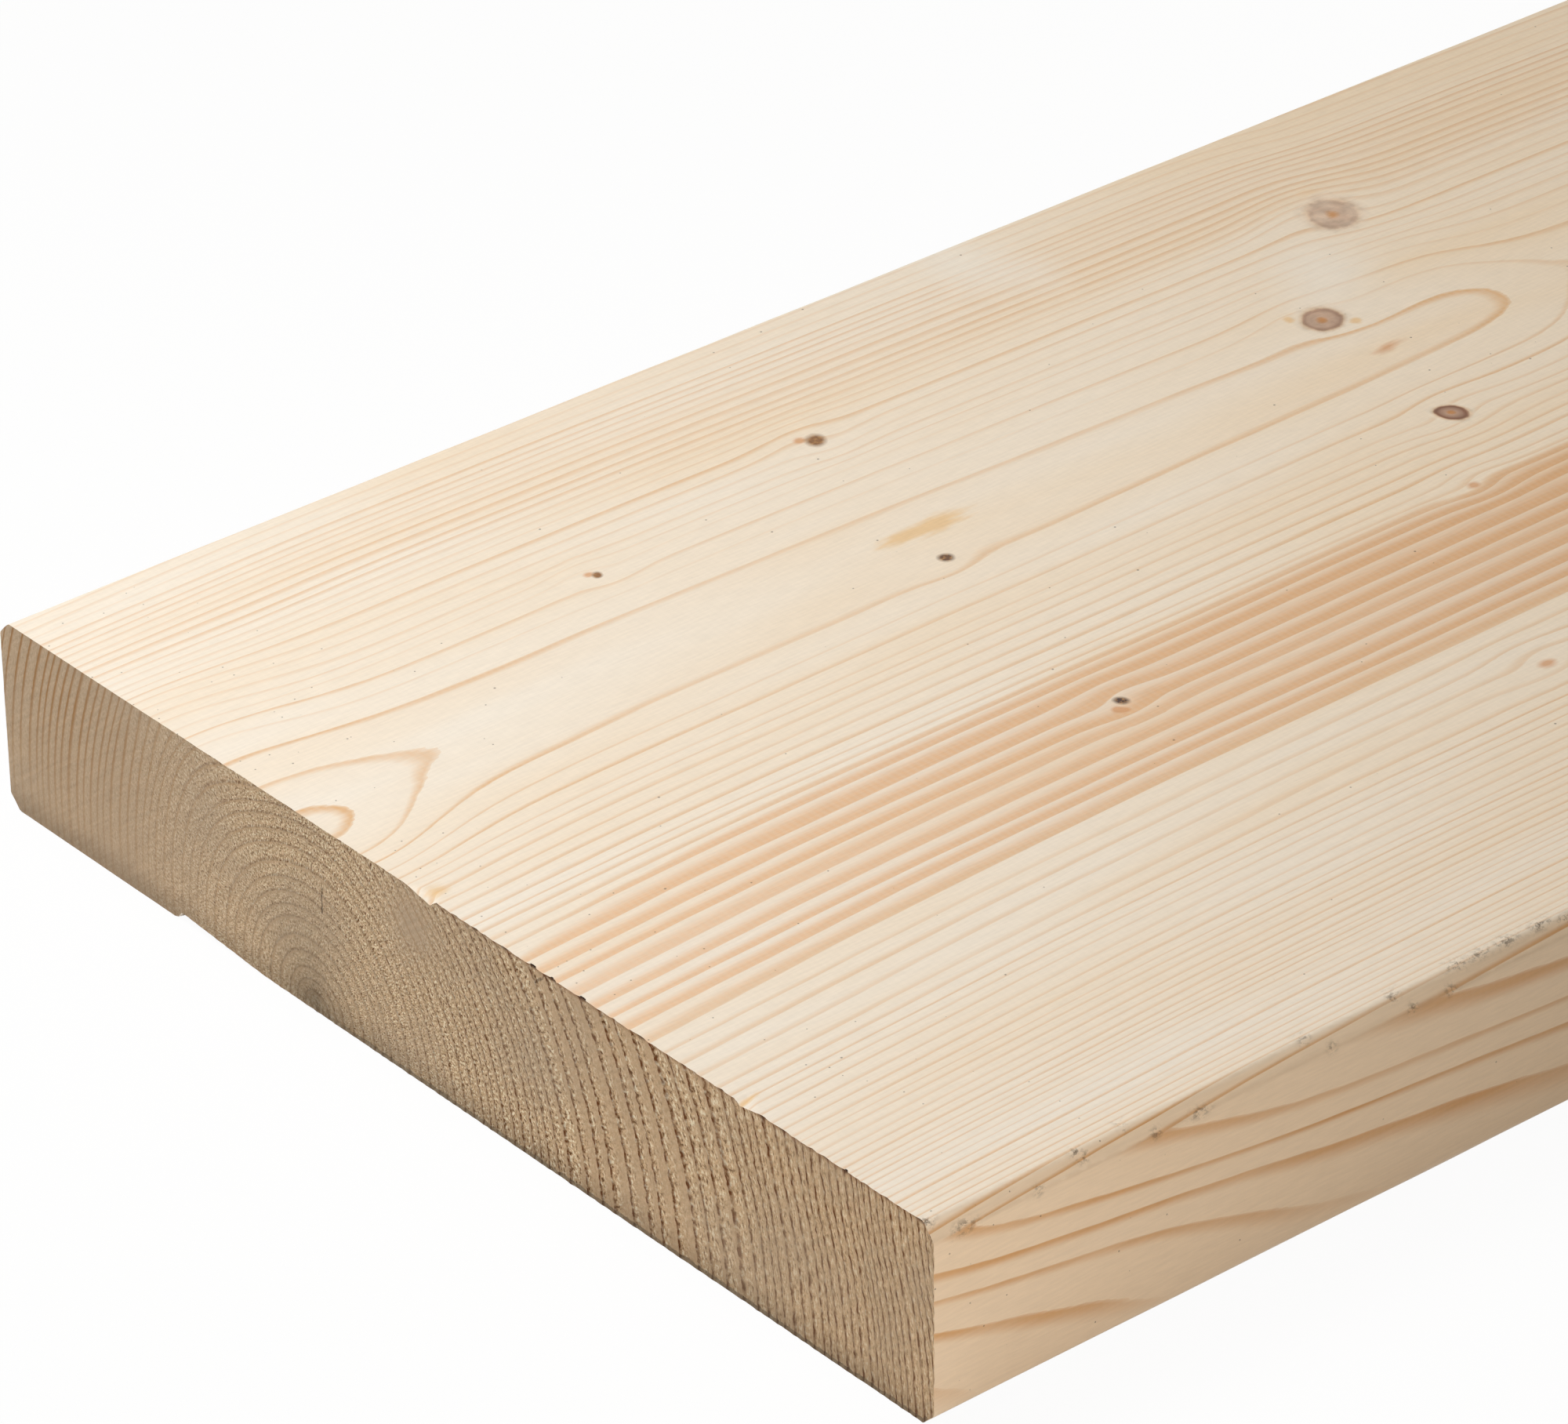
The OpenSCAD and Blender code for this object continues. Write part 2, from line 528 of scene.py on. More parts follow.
def chip_share(spots):
    """Where small chips broke out of the upper arris, from 0 to 1. Its left part stayed whole."""
    broken = bumps(spots * chip_stretch, chip_pitch, chip_seed)
    chipped = np.clip((broken - chip_edge) / (chip_full - chip_edge), 0, 1)
    open_part = np.clip((chips_from - spots[:, 1]) / (chips_from - chips_full), 0, 1)
    return chipped * open_part * np.clip(1 - (thickness - spots[:, 2]) / chip_height, 0, 1)


print(f"in the smooth patch the saw tore {torn_share(patch_across, patch_height):.0%} as deep")

# %% Cut the relief into both ends
chip = np.zeros(len(points))


def saw(rim, first, last, inward):
    """Cuts the relief of one sawn end into its points."""
    chosen = np.concatenate([rim, np.arange(first, last)])
    spots = points[chosen].copy()
    count = ring_number(spots[:, 0], spots[:, 1], spots[:, 2])[0]
    soft = 1 - np.mod(count, 1.0) ** 2
    rough = torn_share(spots[:, 1], spots[:, 2])
    tufts = tuft_least + (1 - tuft_least) * bumps(spots, tuft_pitch, tuft_seed)
    torn = bumps(spots, fibre_pitch, fibre_seed) * tufts
    cut = rough * (ridge_depth * soft + fibre_depth * torn)
    cut[: len(rim)] *= rim_share
    chip[chosen] = chip_share(spots)
    points[chosen, 0] += inward * (cut + chip_depth * chip[chosen])


saw(*ends[0], 1)
saw(*ends[1], -1)
print(f"deepest saw mark {points[ends[0][1]:ends[0][2], 0].max():.2f} mm")

# %% [markdown]
# The chamfers were planed sharp and then knocked about with every stack the plank lay in. Noise that is
# stretched along the plank presses them in, at right angles to their slope.

# %% Worn chamfers
wear_depth = 0.3
wear_pitch = 1.5
along_wear = 0.05
edge_of_point = np.searchsorted(corner_at, np.mod(flat[:, 0], girth), side="right") - 1
on_chamfer = np.isin(edge_of_point, (chamfer_1, chamfer_2, chamfer_3, chamfer_4))
worn = np.flatnonzero(on_chamfer)
wear_noise = bumps(points[worn] * (along_wear, 1, 1), wear_pitch, wear_seed)
wear = wear_depth * wear_noise**2 * math.sqrt(0.5)
points[worn, 1] -= np.sign(points[worn, 1]) * wear
points[worn, 2] += np.where(points[worn, 2] > thickness / 2, -1, 1) * wear
print(f"chamfers pressed in by up to {wear.max():.2f} mm across and as much upwards or downwards")

# %% [markdown]
# ## Handing the wood to the shader
# Each point gets what the material needs to know about the wood there. Reaction wood is what a leaning
# conifer grows on its lower side: for some years the late wood there is broad and orange. On the other
# side of the pith the same years show only a trace of it. The other lines are strong or faint by their
# year, fainter along the middle of the plank, and bolder on the narrow sides.

# %% Reaction wood, and how strong the lines are
reaction_first, reaction_last = 28.3, 37.3
reaction_later, reaction_later_reach = 2.2, 45.0
reaction_blend_in, reaction_blend_out = 0.5, 0.8
reaction_left = 0.15
reaction_late = 0.8
reaction_late_end, reaction_late_reach = 0.5, 60.0
# Share of late wood in a ring of plain wood, by ring number.
late_rings = (10, 17, 20, 24, 30, 40, 58, 67)
late_shares = (0.1, 0.07, 0.12, 0.18, 0.19, 0.16, 0.17, 0.19)
# How strongly those lines are drawn, by ring number.
bold_rings = (10, 17, 20, 24, 28, 40, 60)
bold_shares = (0.85, 0.85, 0.68, 0.6, 0.62, 0.55, 0.58)
# How much fainter the lines near the pith are along the middle of the photographed stretch.
crest_places, crest_shares = (40.0, 100.0, 230.0, 290.0), (1.0, 0.65, 0.65, 1.0)
crest_first, crest_last = 20.0, 26.0
# The faintest line as a share of the strongest, by the distance left of the pith.
even_places, even_shares = (-20.0, 25.0), (0.7, 0.35)
side_blend = 0.8
side_bold, side_bold_from, side_bold_full = 0.98, 3.0, 12.0
# How much thinner the late wood is drawn on the sides, where the rings stand upright.
side_thinner = 0.2

ring, aside, knot, knot_tone = ring_number(points[:, 0], points[:, 1], points[:, 2])
starts = reaction_first + reaction_later * np.exp(-points[:, 0] / reaction_later_reach)
band = np.clip((ring - starts) / reaction_blend_in, 0, 1)
band *= np.clip((reaction_last - ring) / reaction_blend_out + 1, 0, 1)
band *= np.where(aside < 0, 1.0, reaction_left)
late = np.interp(ring, late_rings, late_shares)
bold = np.interp(ring, bold_rings, bold_shares)
near_pith = np.clip((crest_last - ring) / (crest_last - crest_first), 0, 1)
bold *= 1 - near_pith * (1 - np.interp(points[:, 0], crest_places, crest_shares))
even = np.interp(aside, even_places, even_shares)
# How much a point lies on a narrow side. The material paints those sides warmer and darker, as painted
# shade.
narrow_side = np.clip((np.abs(points[:, 1]) - half_width + chamfer) / side_blend, 0, 1)
low_side = np.clip((points[:, 2] - side_bold_from) / (side_bold_full - side_bold_from), 0, 1)
bold += (side_bold * low_side - bold) * narrow_side
broad = reaction_late + (reaction_late_end - reaction_late) * np.exp(-points[:, 0] / reaction_late_reach)
late += (broad - late) * band
late *= 1 - side_thinner * narrow_side
print(f"reaction wood at {(band > 0.5).mean():.0%} of the points")

# %% [markdown]
# Stains, dirt and cracks are small, so each is written down where it lies: first those that show in the
# photograph, then a few along the rest of the plank. More dirt falls on the chamfers by chance, from a
# seeded draw, so that every run gives the same plank.

# %% Stains, dirt and cracks
# Place along and across, reach along and across, and how strong. Below 0 is pale wood, above 0 is resin.
stains = (
    (171.0, 51.3, 10.5, 3.8, 1.0),
    (159.0, 51.5, 5.0, 2.2, 0.65),
    (289.7, 69.7, 2.0, 2.2, 1.2),
    (300.3, 59.9, 2.0, 2.2, 1.0),
    (334.0, 111.0, 7.0, 2.6, 0.5),
    (1.5, -92.0, 4.5, 0.9, 1.0),
    (3.0, 4.0, 4.0, 4.0, 0.7),
    (252.0, 138.0, 9.0, 16.0, -0.9),
    (262.0, 122.0, 7.0, 12.0, -0.5),
    (312.0, 82.0, 11.0, 12.0, -0.9),
    (300.0, 72.0, 12.0, 9.0, -0.6),
    (880.0, -10.0, 12.0, 3.0, 0.9),
    (1240.0, 70.0, 14.0, 3.0, 0.9),
)
# The same for the reddish wood where the grain curls round a knot.
red_stains = (
    (297.0, 46.0, 5.0, 2.0, 0.9),
    (173.4, 97.8, 1.6, 1.3, 1.1),
    (103.2, 82.0, 1.3, 1.1, 1.0),
    (149.6, -30.7, 1.3, 1.3, 1.2),
    (150.9, -31.9, 1.1, 1.0, 0.8),
    (228.0, -74.0, 2.6, 1.8, 0.9),
    (268.5, -10.5, 1.8, 1.4, 1.0),
)
# Dirt spots on the chamfer: place along it, reach along it, and how far below its middle.
dirt_spots = ((1, 1.6, -2), (8, 2.6, 2), (26, 1.0, 2), (37, 1.2, -1.5), (38, 1.4, 0), (49, 0.8, -2))
dirt_spots += ((55, 1.2, 2), (66, 2.4, 2), (95, 1.2, -2), (100, 1.0, 2), (118, 1.4, -2), (121, 1.2, 2))
dirt_spots += ((131, 1.4, 2), (135, 2.4, -2), (141, 2.6, -2), (148, 3.0, -2), (157, 3.2, -2), (163, 1.6, -1))
dirt_across, stain_depth = 1.0, 6.0
# How many further spots lie on each chamfer, from where on, and their reach along it.
chance_spots, chance_from, chance_reach = 14, 400.0, 7.0
turn_radius = 90.0
# Cracks on the sawn end, as lines from one place across and up to another.
cracks = (((39.0, 24.0), (38.8, 31.5)), ((-29.9, 41.6), (-33.7, 45.2)), ((-33.3, 44.7), (-35.6, 44.6)))


def soaked(patches):
    """How strongly some patches of the upper face are stained, at every point of the plank."""
    total = np.zeros(len(points))
    for place_x, place_y, reach_x, reach_y, strength in patches:
        along, across = (points[:, 0] - place_x) / reach_x, (points[:, 1] - place_y) / reach_y
        near = np.exp(-(along**2) - across**2)
        total += strength * near * np.clip((points[:, 2] - thickness) / stain_depth + 1, 0, 1)
    return total


stain = soaked(stains)
red_stain = soaked(red_stains)
dirt = np.zeros(len(points))
dirt_luck = np.random.default_rng(11)
for edge in (chamfer_1, chamfer_2, chamfer_3, chamfer_4):
    chance_at = dirt_luck.uniform(chance_from, length, chance_spots)
    groups = [(at, chance_reach, 0) for at in chance_at]
    if edge == chamfer_3:
        groups.extend(dirt_spots)
    below_middle = np.mod(flat[:, 0], girth) - corner_at[edge : edge + 2].mean()
    here = np.flatnonzero(np.abs(below_middle) < 2 * chamfer)
    for at, reach, below in groups:
        across = dirt_across if reach < chance_reach else chamfer
        group = ((points[here, 0] - at) / reach) ** 2 + ((below_middle[here] - below) / across) ** 2
        dirt[here] = np.maximum(dirt[here], np.exp(-group))
torn = torn_share(points[:, 1], points[:, 2])
turn = np.arctan2(points[:, 2] - pith_height, aside) * turn_radius
crack = np.full(len(points), far_away)
for (first_y, first_z), (last_y, last_z) in cracks:
    run_y, run_z = last_y - first_y, last_z - first_z
    span = math.hypot(run_y, run_z)
    to_y, to_z = points[:, 1] - first_y, points[:, 2] - first_z
    along_crack = (to_y * run_y + to_z * run_z) / span
    beside_crack = (to_y * run_z - to_z * run_y) / span
    at_crack = (along_crack > 0) & (along_crack < span) & (np.abs(beside_crack) < np.abs(crack))
    crack = np.where(at_crack, beside_crack, crack)
print(f"{len(stains) + len(red_stains)} stains, {len(dirt_spots)} dirt spots, {len(cracks)} cracks")

# %% [markdown]
# All of this is stored on the points as attributes, under plain names. The materials read them and draw
# every line from them, on all faces at once. The rims of the sawn ends are marked sharp, so that the
# smooth shading stops there.

# %% Build the mesh and store the wood on it
used = np.unique(triangles)
renumber = np.full(len(points), -1)
renumber[used] = np.arange(len(used))
mesh = bpy.data.meshes.new("plank_wood")
mesh.from_pydata(to_metres(points[used]).tolist(), [], renumber[triangles].tolist())
stored_values = {"ring": ring, "band": band, "late": late, "bold": bold, "even": even, "narrow_side": narrow_side}
stored_values |= {"knot": knot, "knot_tone": knot_tone, "stain": stain, "red_stain": red_stain}
stored_values |= {"dirt": dirt, "torn": torn, "turn": turn, "crack": crack, "chip": chip}
for name, values in stored_values.items():
    stored = mesh.attributes.new(name, "FLOAT", "POINT")
    stored.data.foreach_set("value", values[used].astype(np.float32))
mesh.polygons.foreach_set("material_index", is_end.astype(np.int32))
mesh.shade_smooth()

on_rim = np.zeros(len(points), bool)
for rim, _, _ in ends:
    on_rim[rim] = True
pairs = np.zeros(len(mesh.edges) * 2, np.int32)
mesh.edges.foreach_get("vertices", pairs)
pairs = used[pairs.reshape(-1, 2)]
sharp = on_rim[pairs].all(axis=1)
mesh.edges.foreach_set("use_edge_sharp", sharp)

plank = bpy.data.objects.new("plank_wood", mesh)
scene.collection.objects.link(plank)
print(f"{len(mesh.polygons)} faces, {sharp.sum()} sharp edges")

# %% [markdown]
# ## A texture map for the wrapper
# The wrapper was flat before it was folded, so it already is a map without stretching. It is cut at half
# its length and laid out in two strips, with the two sawn ends beside them.

# %% Lay out the texture map
strip_gap = 12.0
map_size = 2 * girth + 3 * strip_gap
end_scale = 1.35
near_row, far_row = 20.0, 100.0
corner_places = np.zeros((len(triangles), 3, 2))
skin_s = flat[skin][:, :, 0]
skin_x = flat[skin][:, :, 1]
second = skin_x.mean(axis=1) > fold
corner_places[: len(skin), :, 0] = skin_x - np.where(second, fold, 0)[:, None] + strip_gap
corner_places[: len(skin), :, 1] = skin_s + np.where(second, girth + strip_gap, 0)[:, None] + strip_gap
end_places = points[triangles[len(skin) :]][:, :, 1:]
far = points[triangles[len(skin) :]][:, :, 0].mean(axis=1) > fold
corner_places[len(skin) :, :, 0] = (end_places[:, :, 0] + half_width) * end_scale + fold + 3 * strip_gap
end_row = np.where(far, far_row, near_row)
corner_places[len(skin) :, :, 1] = end_places[:, :, 1] * end_scale + end_row[:, None]
texture_map = mesh.uv_layers.new(name="OFBake")
texture_map.uv.foreach_set("vector", (corner_places / map_size).astype(np.float32).ravel())
print(f"map of {map_size:.0f} mm a side")

# %% [markdown]
# ## Helpers for materials
# Colours are written as people write them for screens and turned into Blender's linear light by one
# function. Another small function adds a node, sets it up and links it.

# %% Colour and node helpers


def colour(hex_code):
    """Linear red, green, blue and alpha of an sRGB hex colour."""
    parts = [int(hex_code[i : i + 2], 16) / 255 for i in (1, 3, 5)]
    return [p / 12.92 if p <= 0.04045 else ((p + 0.055) / 1.055) ** 2.4 for p in parts] + [1.0]


def add(tree, kind, inputs=None, output=0, **settings):
    """Adds a node, sets its settings and inputs, links those that are sockets, and returns an output."""
    made = tree.nodes.new("ShaderNode" + kind)
    for name, value in settings.items():
        setattr(made, name, value)
    for name, value in (inputs or {}).items():
        if isinstance(value, bpy.types.NodeSocket):
            tree.links.new(value, made.inputs[name])
        else:
            made.inputs[name].default_value = value
    return made.outputs[output] if made.outputs else made


def new_tree(name):
    """A material with an empty node tree."""
    material = bpy.data.materials.new(name)
    material.use_nodes = True
    material.node_tree.nodes.clear()
    return material, material.node_tree


def repeat(along_mm, across_mm):
    """Scale at which a pattern repeats after so many millimetres along and across the grain."""
    return (1 / (along_mm * MM), 1 / (across_mm * MM), 1 / (across_mm * MM))


# The two colours of a Mix node by their place on it, and what makes it mix colours.
FIRST, SECOND = 6, 7
BLEND = {"output": 2, "data_type": "RGBA"}
# Noise swings about its middle, and nearly all of it lies in this span.
NOISE_MIDDLE = 0.5
NOISE_SPAN = {"From Min": 0.3, "From Max": 0.7}
print("middle grey #808080 is", round(colour("#808080")[0], 3), "in linear light")

# %% [markdown]
# ## Planed spruce
# Planed spruce is cream early wood with thin honey-coloured lines of late wood. Each line starts
# softly on the pith side and ends sharply on the bark side. In the reaction wood the late wood
# fills most of the ring, so it shows as broad orange stripes with thin pale lines between them.
# The fraction of the ring number says how far through its year a point is, and the late wood begins
# where that fraction passes its stored share. A few lines are strong and most are faint, as years are.

# %% Planed spruce: the lines of late wood
# How far noise shifts a line, in rings: slow swaying and fine raggedness.
sway_rings, ragged_rings = 0.16, 0.06
# Where a line starts and is full before the end of its ring, in shares of its late wood.
plain_start, broad_start, full_at = -2.6, -1.45, -0.4
# The faint darkening of the early wood towards the line.
fade_power, fade_share = 3.0, 0.15
planed, tree = new_tree("planed_spruce")
place = add(tree, "TexCoord", output="Object")
ring_value, band_value, late_value, bold_value, even_value, narrow_side_value = (
    add(tree, "Attribute", attribute_name=name, output="Fac")
    for name in ("ring", "band", "late", "bold", "even", "narrow_side")
)
sway_place = add(tree, "Mapping", {"Vector": place, "Scale": repeat(55, 9)})
sway_noise = add(tree, "TexNoise", {"Vector": sway_place, "Scale": 1.0, "Detail": 1.0})
swayed = add(tree, "Math", {0: sway_noise, 1: -NOISE_MIDDLE}, operation="ADD")
swayed_ring = add(tree, "Math", {0: swayed, 1: sway_rings, 2: ring_value}, operation="MULTIPLY_ADD")
ragged_place = add(tree, "Mapping", {"Vector": place, "Scale": repeat(26, 0.9)})
ragged = add(tree, "TexNoise", {"Vector": ragged_place, "Scale": 1.0, "Detail": 3.0})
ragged_ring = add(tree, "Math", {0: ragged, 1: ragged_rings, 2: swayed_ring}, operation="MULTIPLY_ADD")
share = add(tree, "Math", {0: ragged_ring}, operation="FRACT")
year = add(tree, "Math", {0: ragged_ring}, operation="FLOOR")
year_draw = add(tree, "TexWhiteNoise", {"W": year}, "Color", noise_dimensions="1D")
strength_luck, width_luck, _ = add(tree, "SeparateColor", {"Color": year_draw}).node.outputs
year_width = add(tree, "MapRange", {"Value": width_luck, "To Min": 0.7, "To Max": 1.18})
late_share = add(tree, "Math", {0: late_value, 1: year_width}, operation="MULTIPLY")
line_slope = add(tree, "Mix", {"Factor": band_value, 2: plain_start, 3: broad_start})
line_start = add(tree, "Math", {0: late_share, 1: line_slope, 2: 1.0}, operation="MULTIPLY_ADD")
line_full = add(tree, "Math", {0: late_share, 1: full_at, 2: 1.0}, operation="MULTIPLY_ADD")
line_range = {"Value": share, "From Min": line_start, "From Max": line_full}
line = add(tree, "MapRange", line_range, interpolation_type="SMOOTHSTEP")
fade = add(tree, "Math", {0: share, 1: fade_power}, operation="POWER")
faint_fade = add(tree, "Math", {0: fade, 1: fade_share}, operation="MULTIPLY")
soft_edge = add(tree, "MapRange", {"Value": share, "From Min": 0.96, "To Min": 1.0, "To Max": 0.4})
soft_line = add(tree, "Math", {0: line, 1: soft_edge}, operation="MULTIPLY")
late_profile = add(tree, "Math", {0: soft_line, 1: faint_fade}, operation="MAXIMUM")
print("the lines are placed by", len(tree.nodes), "nodes")

# %% [markdown]
# No two years are alike, so each year draws its own strength, and slow noise lets a line come and go
# along the plank. In the reaction wood every line is strong.

# %% Planed spruce: how strong each line is
patch_place = add(tree, "Mapping", {"Vector": place, "Scale": repeat(90, 7)})
patches = add(tree, "TexNoise", {"Vector": patch_place, "Scale": 1.0, "Detail": 2.0})
year_strength = add(tree, "MapRange", {"Value": strength_luck, "To Min": even_value, "To Max": 1.08})
patch_strength = add(tree, "MapRange", {"Value": patches, **NOISE_SPAN, "To Min": 0.65, "To Max": 1.12})
lucky_strength = add(tree, "Math", {0: year_strength, 1: patch_strength}, operation="MULTIPLY")
plain_strength = add(tree, "Math", {0: lucky_strength, 1: bold_value}, operation="MULTIPLY")
broad_strength = add(tree, "MapRange", {"Value": strength_luck, "To Min": 0.64, "To Max": 0.94})
strength = add(tree, "Mix", {"Factor": band_value, 2: plain_strength, 3: broad_strength})
late_wood = add(tree, "Math", {0: late_profile, 1: strength}, operation="MULTIPLY")
print("late wood drawn from", len(tree.nodes), "nodes")

# %% [markdown]
# The knives of a planer leave shallow waves across the grain. They are almost too fine to see, but they
# make the late wood look like strings of beads. The waves wander a little, because a plank shakes on its
# way through the machine.

# %% Planed spruce: the waves of the planer
knife_pitch, wander_turn = 1.75, 10.0
along = add(tree, "SeparateXYZ", {"Vector": place}, output="X")
wander_place = add(tree, "Mapping", {"Vector": place, "Scale": repeat(30, 26)})
wander = add(tree, "TexNoise", {"Vector": wander_place, "Scale": 1.0, "Detail": 1.0})
wander_angle = add(tree, "Math", {0: wander, 1: wander_turn}, operation="MULTIPLY")
knife_turns = 2 * math.pi / (knife_pitch * MM)
knife_angle = add(tree, "Math", {0: along, 1: knife_turns, 2: wander_angle}, operation="MULTIPLY_ADD")
knife_sine = add(tree, "Math", {0: knife_angle}, operation="SINE")
knife_depth = add(tree, "MapRange", {"Value": narrow_side_value, "To Min": 1.0, "To Max": 0.2})
knife = add(tree, "Math", {0: knife_sine, 1: knife_depth}, operation="MULTIPLY")
bead = add(tree, "MapRange", {"Value": knife, "From Min": -1.0, "To Min": 0.92, "To Max": 1.05})
late_beaded = add(tree, "Math", {0: late_wood, 1: bead}, operation="MULTIPLY", use_clamp=True)
knife_light = add(tree, "MapRange", {"Value": knife, "From Min": -1.0, "To Min": 0.99, "To Max": 1.006})
print(f"one wave every {knife_pitch} mm")

# %% [markdown]
# The early wood is not one cream either: it drifts between a cool and a warm cream in long patches. Its
# colours are painted warmer and darker away from the sawn end, as painted shade, and there the reaction wood
# also tints the early wood between its stripes more. The narrow sides are painted warmer and darker than
# the faces, as painted shade.

# %% Planed spruce: the colours of the wood
# How far from the sawn end the painted shade is complete, how much it warms the cream, how fast it
# darkens the sides along the plank, and how much painted shade the sides get.
far_shade_length, far_shade_warmth, side_far_shade_power, side_shade_most = 350.0, 0.5, 2.0, 0.8
cream, warm_cream = colour("#F6EDDF"), colour("#F4E0C4")
pale_brown, deep_brown = colour("#EBD3B5"), colour("#D0B38E")
honey, pale_tan, deep_tan = colour("#DDAB70"), colour("#CF9858"), colour("#B67B3A")
pale_orange, deep_orange = colour("#EABF94"), colour("#D6A16A")
tone_place = add(tree, "Mapping", {"Vector": place, "Scale": repeat(120, 20)})
tone = add(tree, "TexNoise", {"Vector": tone_place, "Scale": 1.0, "Detail": 2.0})
# Painted shade: from the sawn end onwards the cream, the orange and the tan are mixed warmer and darker.
far_shade_range = {"Value": along, "From Min": sawn_end.x, "From Max": sawn_end.x + far_shade_length * MM}
far_shade = add(tree, "MapRange", far_shade_range)
tone_patch = add(tree, "MapRange", {"Value": tone, **NOISE_SPAN, "To Max": 0.55})
tone_and_shade_sum = {0: far_shade, 1: far_shade_warmth, 2: tone_patch}
tone_and_shade_share = add(tree, "Math", tone_and_shade_sum, operation="MULTIPLY_ADD", use_clamp=True)
orange = add(tree, "Mix", {"Factor": far_shade, FIRST: pale_orange, SECOND: deep_orange}, **BLEND)
tan = add(tree, "Mix", {"Factor": far_shade, FIRST: pale_tan, SECOND: deep_tan}, **BLEND)
fresh = add(tree, "Mix", {"Factor": tone_and_shade_share, FIRST: cream, SECOND: warm_cream}, **BLEND)
band_tint = add(tree, "MapRange", {"Value": far_shade, "To Min": 0.05, "To Max": 0.38})
tint_share = add(tree, "Math", {0: band_value, 1: band_tint}, operation="MULTIPLY")
tinted = add(tree, "Mix", {"Factor": tint_share, FIRST: fresh, SECOND: orange}, **BLEND)
# Painted shade: the narrow sides get a warmer, darker early wood and tan late wood, darker further from the
# sawn end.
side_shade_share = add(tree, "Math", {0: narrow_side_value, 1: side_shade_most}, operation="MULTIPLY")
side_far_shade = add(tree, "Math", {0: far_shade, 1: side_far_shade_power}, operation="POWER")
shaded_side_wood = add(tree, "Mix", {"Factor": side_far_shade, FIRST: pale_brown, SECOND: deep_brown}, **BLEND)
early = add(tree, "Mix", {"Factor": side_shade_share, FIRST: tinted, SECOND: shaded_side_wood}, **BLEND)
fresh_late = add(tree, "Mix", {"Factor": band_value, FIRST: honey, SECOND: orange}, **BLEND)
late_colour = add(tree, "Mix", {"Factor": narrow_side_value, FIRST: fresh_late, SECOND: tan}, **BLEND)
rings = add(tree, "Mix", {"Factor": late_beaded, FIRST: early, SECOND: late_colour}, **BLEND)
# Real fibres are about 0.03 mm wide, too fine to show, so they are drawn 0.6 mm wide.
fibre_place = add(tree, "Mapping", {"Vector": place, "Scale": repeat(6, 0.6)})
fibres = add(tree, "TexNoise", {"Vector": fibre_place, "Scale": 1.0, "Detail": 3.0})
fibre_light = add(tree, "MapRange", {"Value": fibres, **NOISE_SPAN, "To Min": 0.955, "To Max": 1.03})
print("fibres 6 mm long, drawn 0.6 mm wide so that they show")

# %% [markdown]
# Resin soaks into the wood beside a knot or in a small pocket and turns it yellow. Where the grain curls
# tightly it turns red instead, and beside the knots the wood can be paler than the rest. Noise breaks up
# the outline of these stains.

# %% Planed spruce: resin stains and pale wood
resin_raggedness, red_raggedness = 0.7, 0.5
resin, red_resin, pale_wood = colour("#E9C186"), colour("#D69D6C"), colour("#F7EFE2")
stain_value = add(tree, "Attribute", attribute_name="stain", output="Fac")
stain_place = add(tree, "Mapping", {"Vector": place, "Scale": repeat(8, 1.6)})
stain_noise = add(tree, "TexNoise", {"Vector": stain_place, "Scale": 1.0, "Detail": 3.0})
stain_edge = add(tree, "Math", {0: stain_noise, 1: -NOISE_MIDDLE}, operation="ADD")
stain_sum = {0: stain_edge, 1: resin_raggedness, 2: stain_value}
stain_rough = add(tree, "Math", stain_sum, operation="MULTIPLY_ADD")
resin_range = {"Value": stain_rough, "From Min": 0.3, "From Max": 0.8, "To Max": 0.75}
resin_share = add(tree, "MapRange", resin_range, interpolation_type="SMOOTHSTEP")
pale_range = {"Value": stain_value, "From Min": -0.1, "From Max": -0.9, "To Max": 0.6}
pale_share = add(tree, "MapRange", pale_range)
red_value = add(tree, "Attribute", attribute_name="red_stain", output="Fac")
red_rough = add(tree, "Math", {0: stain_edge, 1: red_raggedness, 2: red_value}, operation="MULTIPLY_ADD")
red_share = add(tree, "MapRange", {"Value": red_rough, "From Min": 0.25, "From Max": 0.8, "To Max": 0.8})
reddened = add(tree, "Mix", {"Factor": red_share, FIRST: rings, SECOND: red_resin}, **BLEND)
stained = add(tree, "Mix", {"Factor": resin_share, FIRST: reddened, SECOND: resin}, **BLEND)
bleached = add(tree, "Mix", {"Factor": pale_share, FIRST: stained, SECOND: pale_wood}, **BLEND)
print("resin and pale patches mixed in")

# %% [markdown]
# A live knot has rings of its own, a thin brown rim that is broken here and there, and a pale collar of
# twisted wood. The distance to the nearest knot, in knot radii, runs through a colour ramp, so one ramp
# serves knots of every size.

# %% Planed spruce: rings of live knots
# How ragged a knot is, and how far the colour ramp reaches, both in knot radii.
knot_raggedness, ramp_reach = 0.35, 2.5
knot_value = add(tree, "Attribute", attribute_name="knot", output="Fac")
knot_dark = add(tree, "Attribute", attribute_name="knot_tone", output="Fac")
knot_place = add(tree, "Mapping", {"Vector": place, "Scale": repeat(3.4, 3.4)})
knot_noise = add(tree, "TexNoise", {"Vector": knot_place, "Scale": 1.0, "Detail": 3.0})
knot_shift = add(tree, "Math", {0: knot_noise, 1: -NOISE_MIDDLE}, operation="ADD")
knot_rough = add(tree, "Math", {0: knot_shift, 1: knot_raggedness, 2: knot_value}, operation="MULTIPLY_ADD")
knot_share = add(tree, "Math", {0: knot_rough, 1: ramp_reach}, operation="DIVIDE", use_clamp=True)
knot_ramp = add(tree, "ValToRGB", {"Fac": knot_share})
stops = knot_ramp.node.color_ramp.elements
stops[0].position, stops[0].color = 0.0, colour("#BE7A3C")
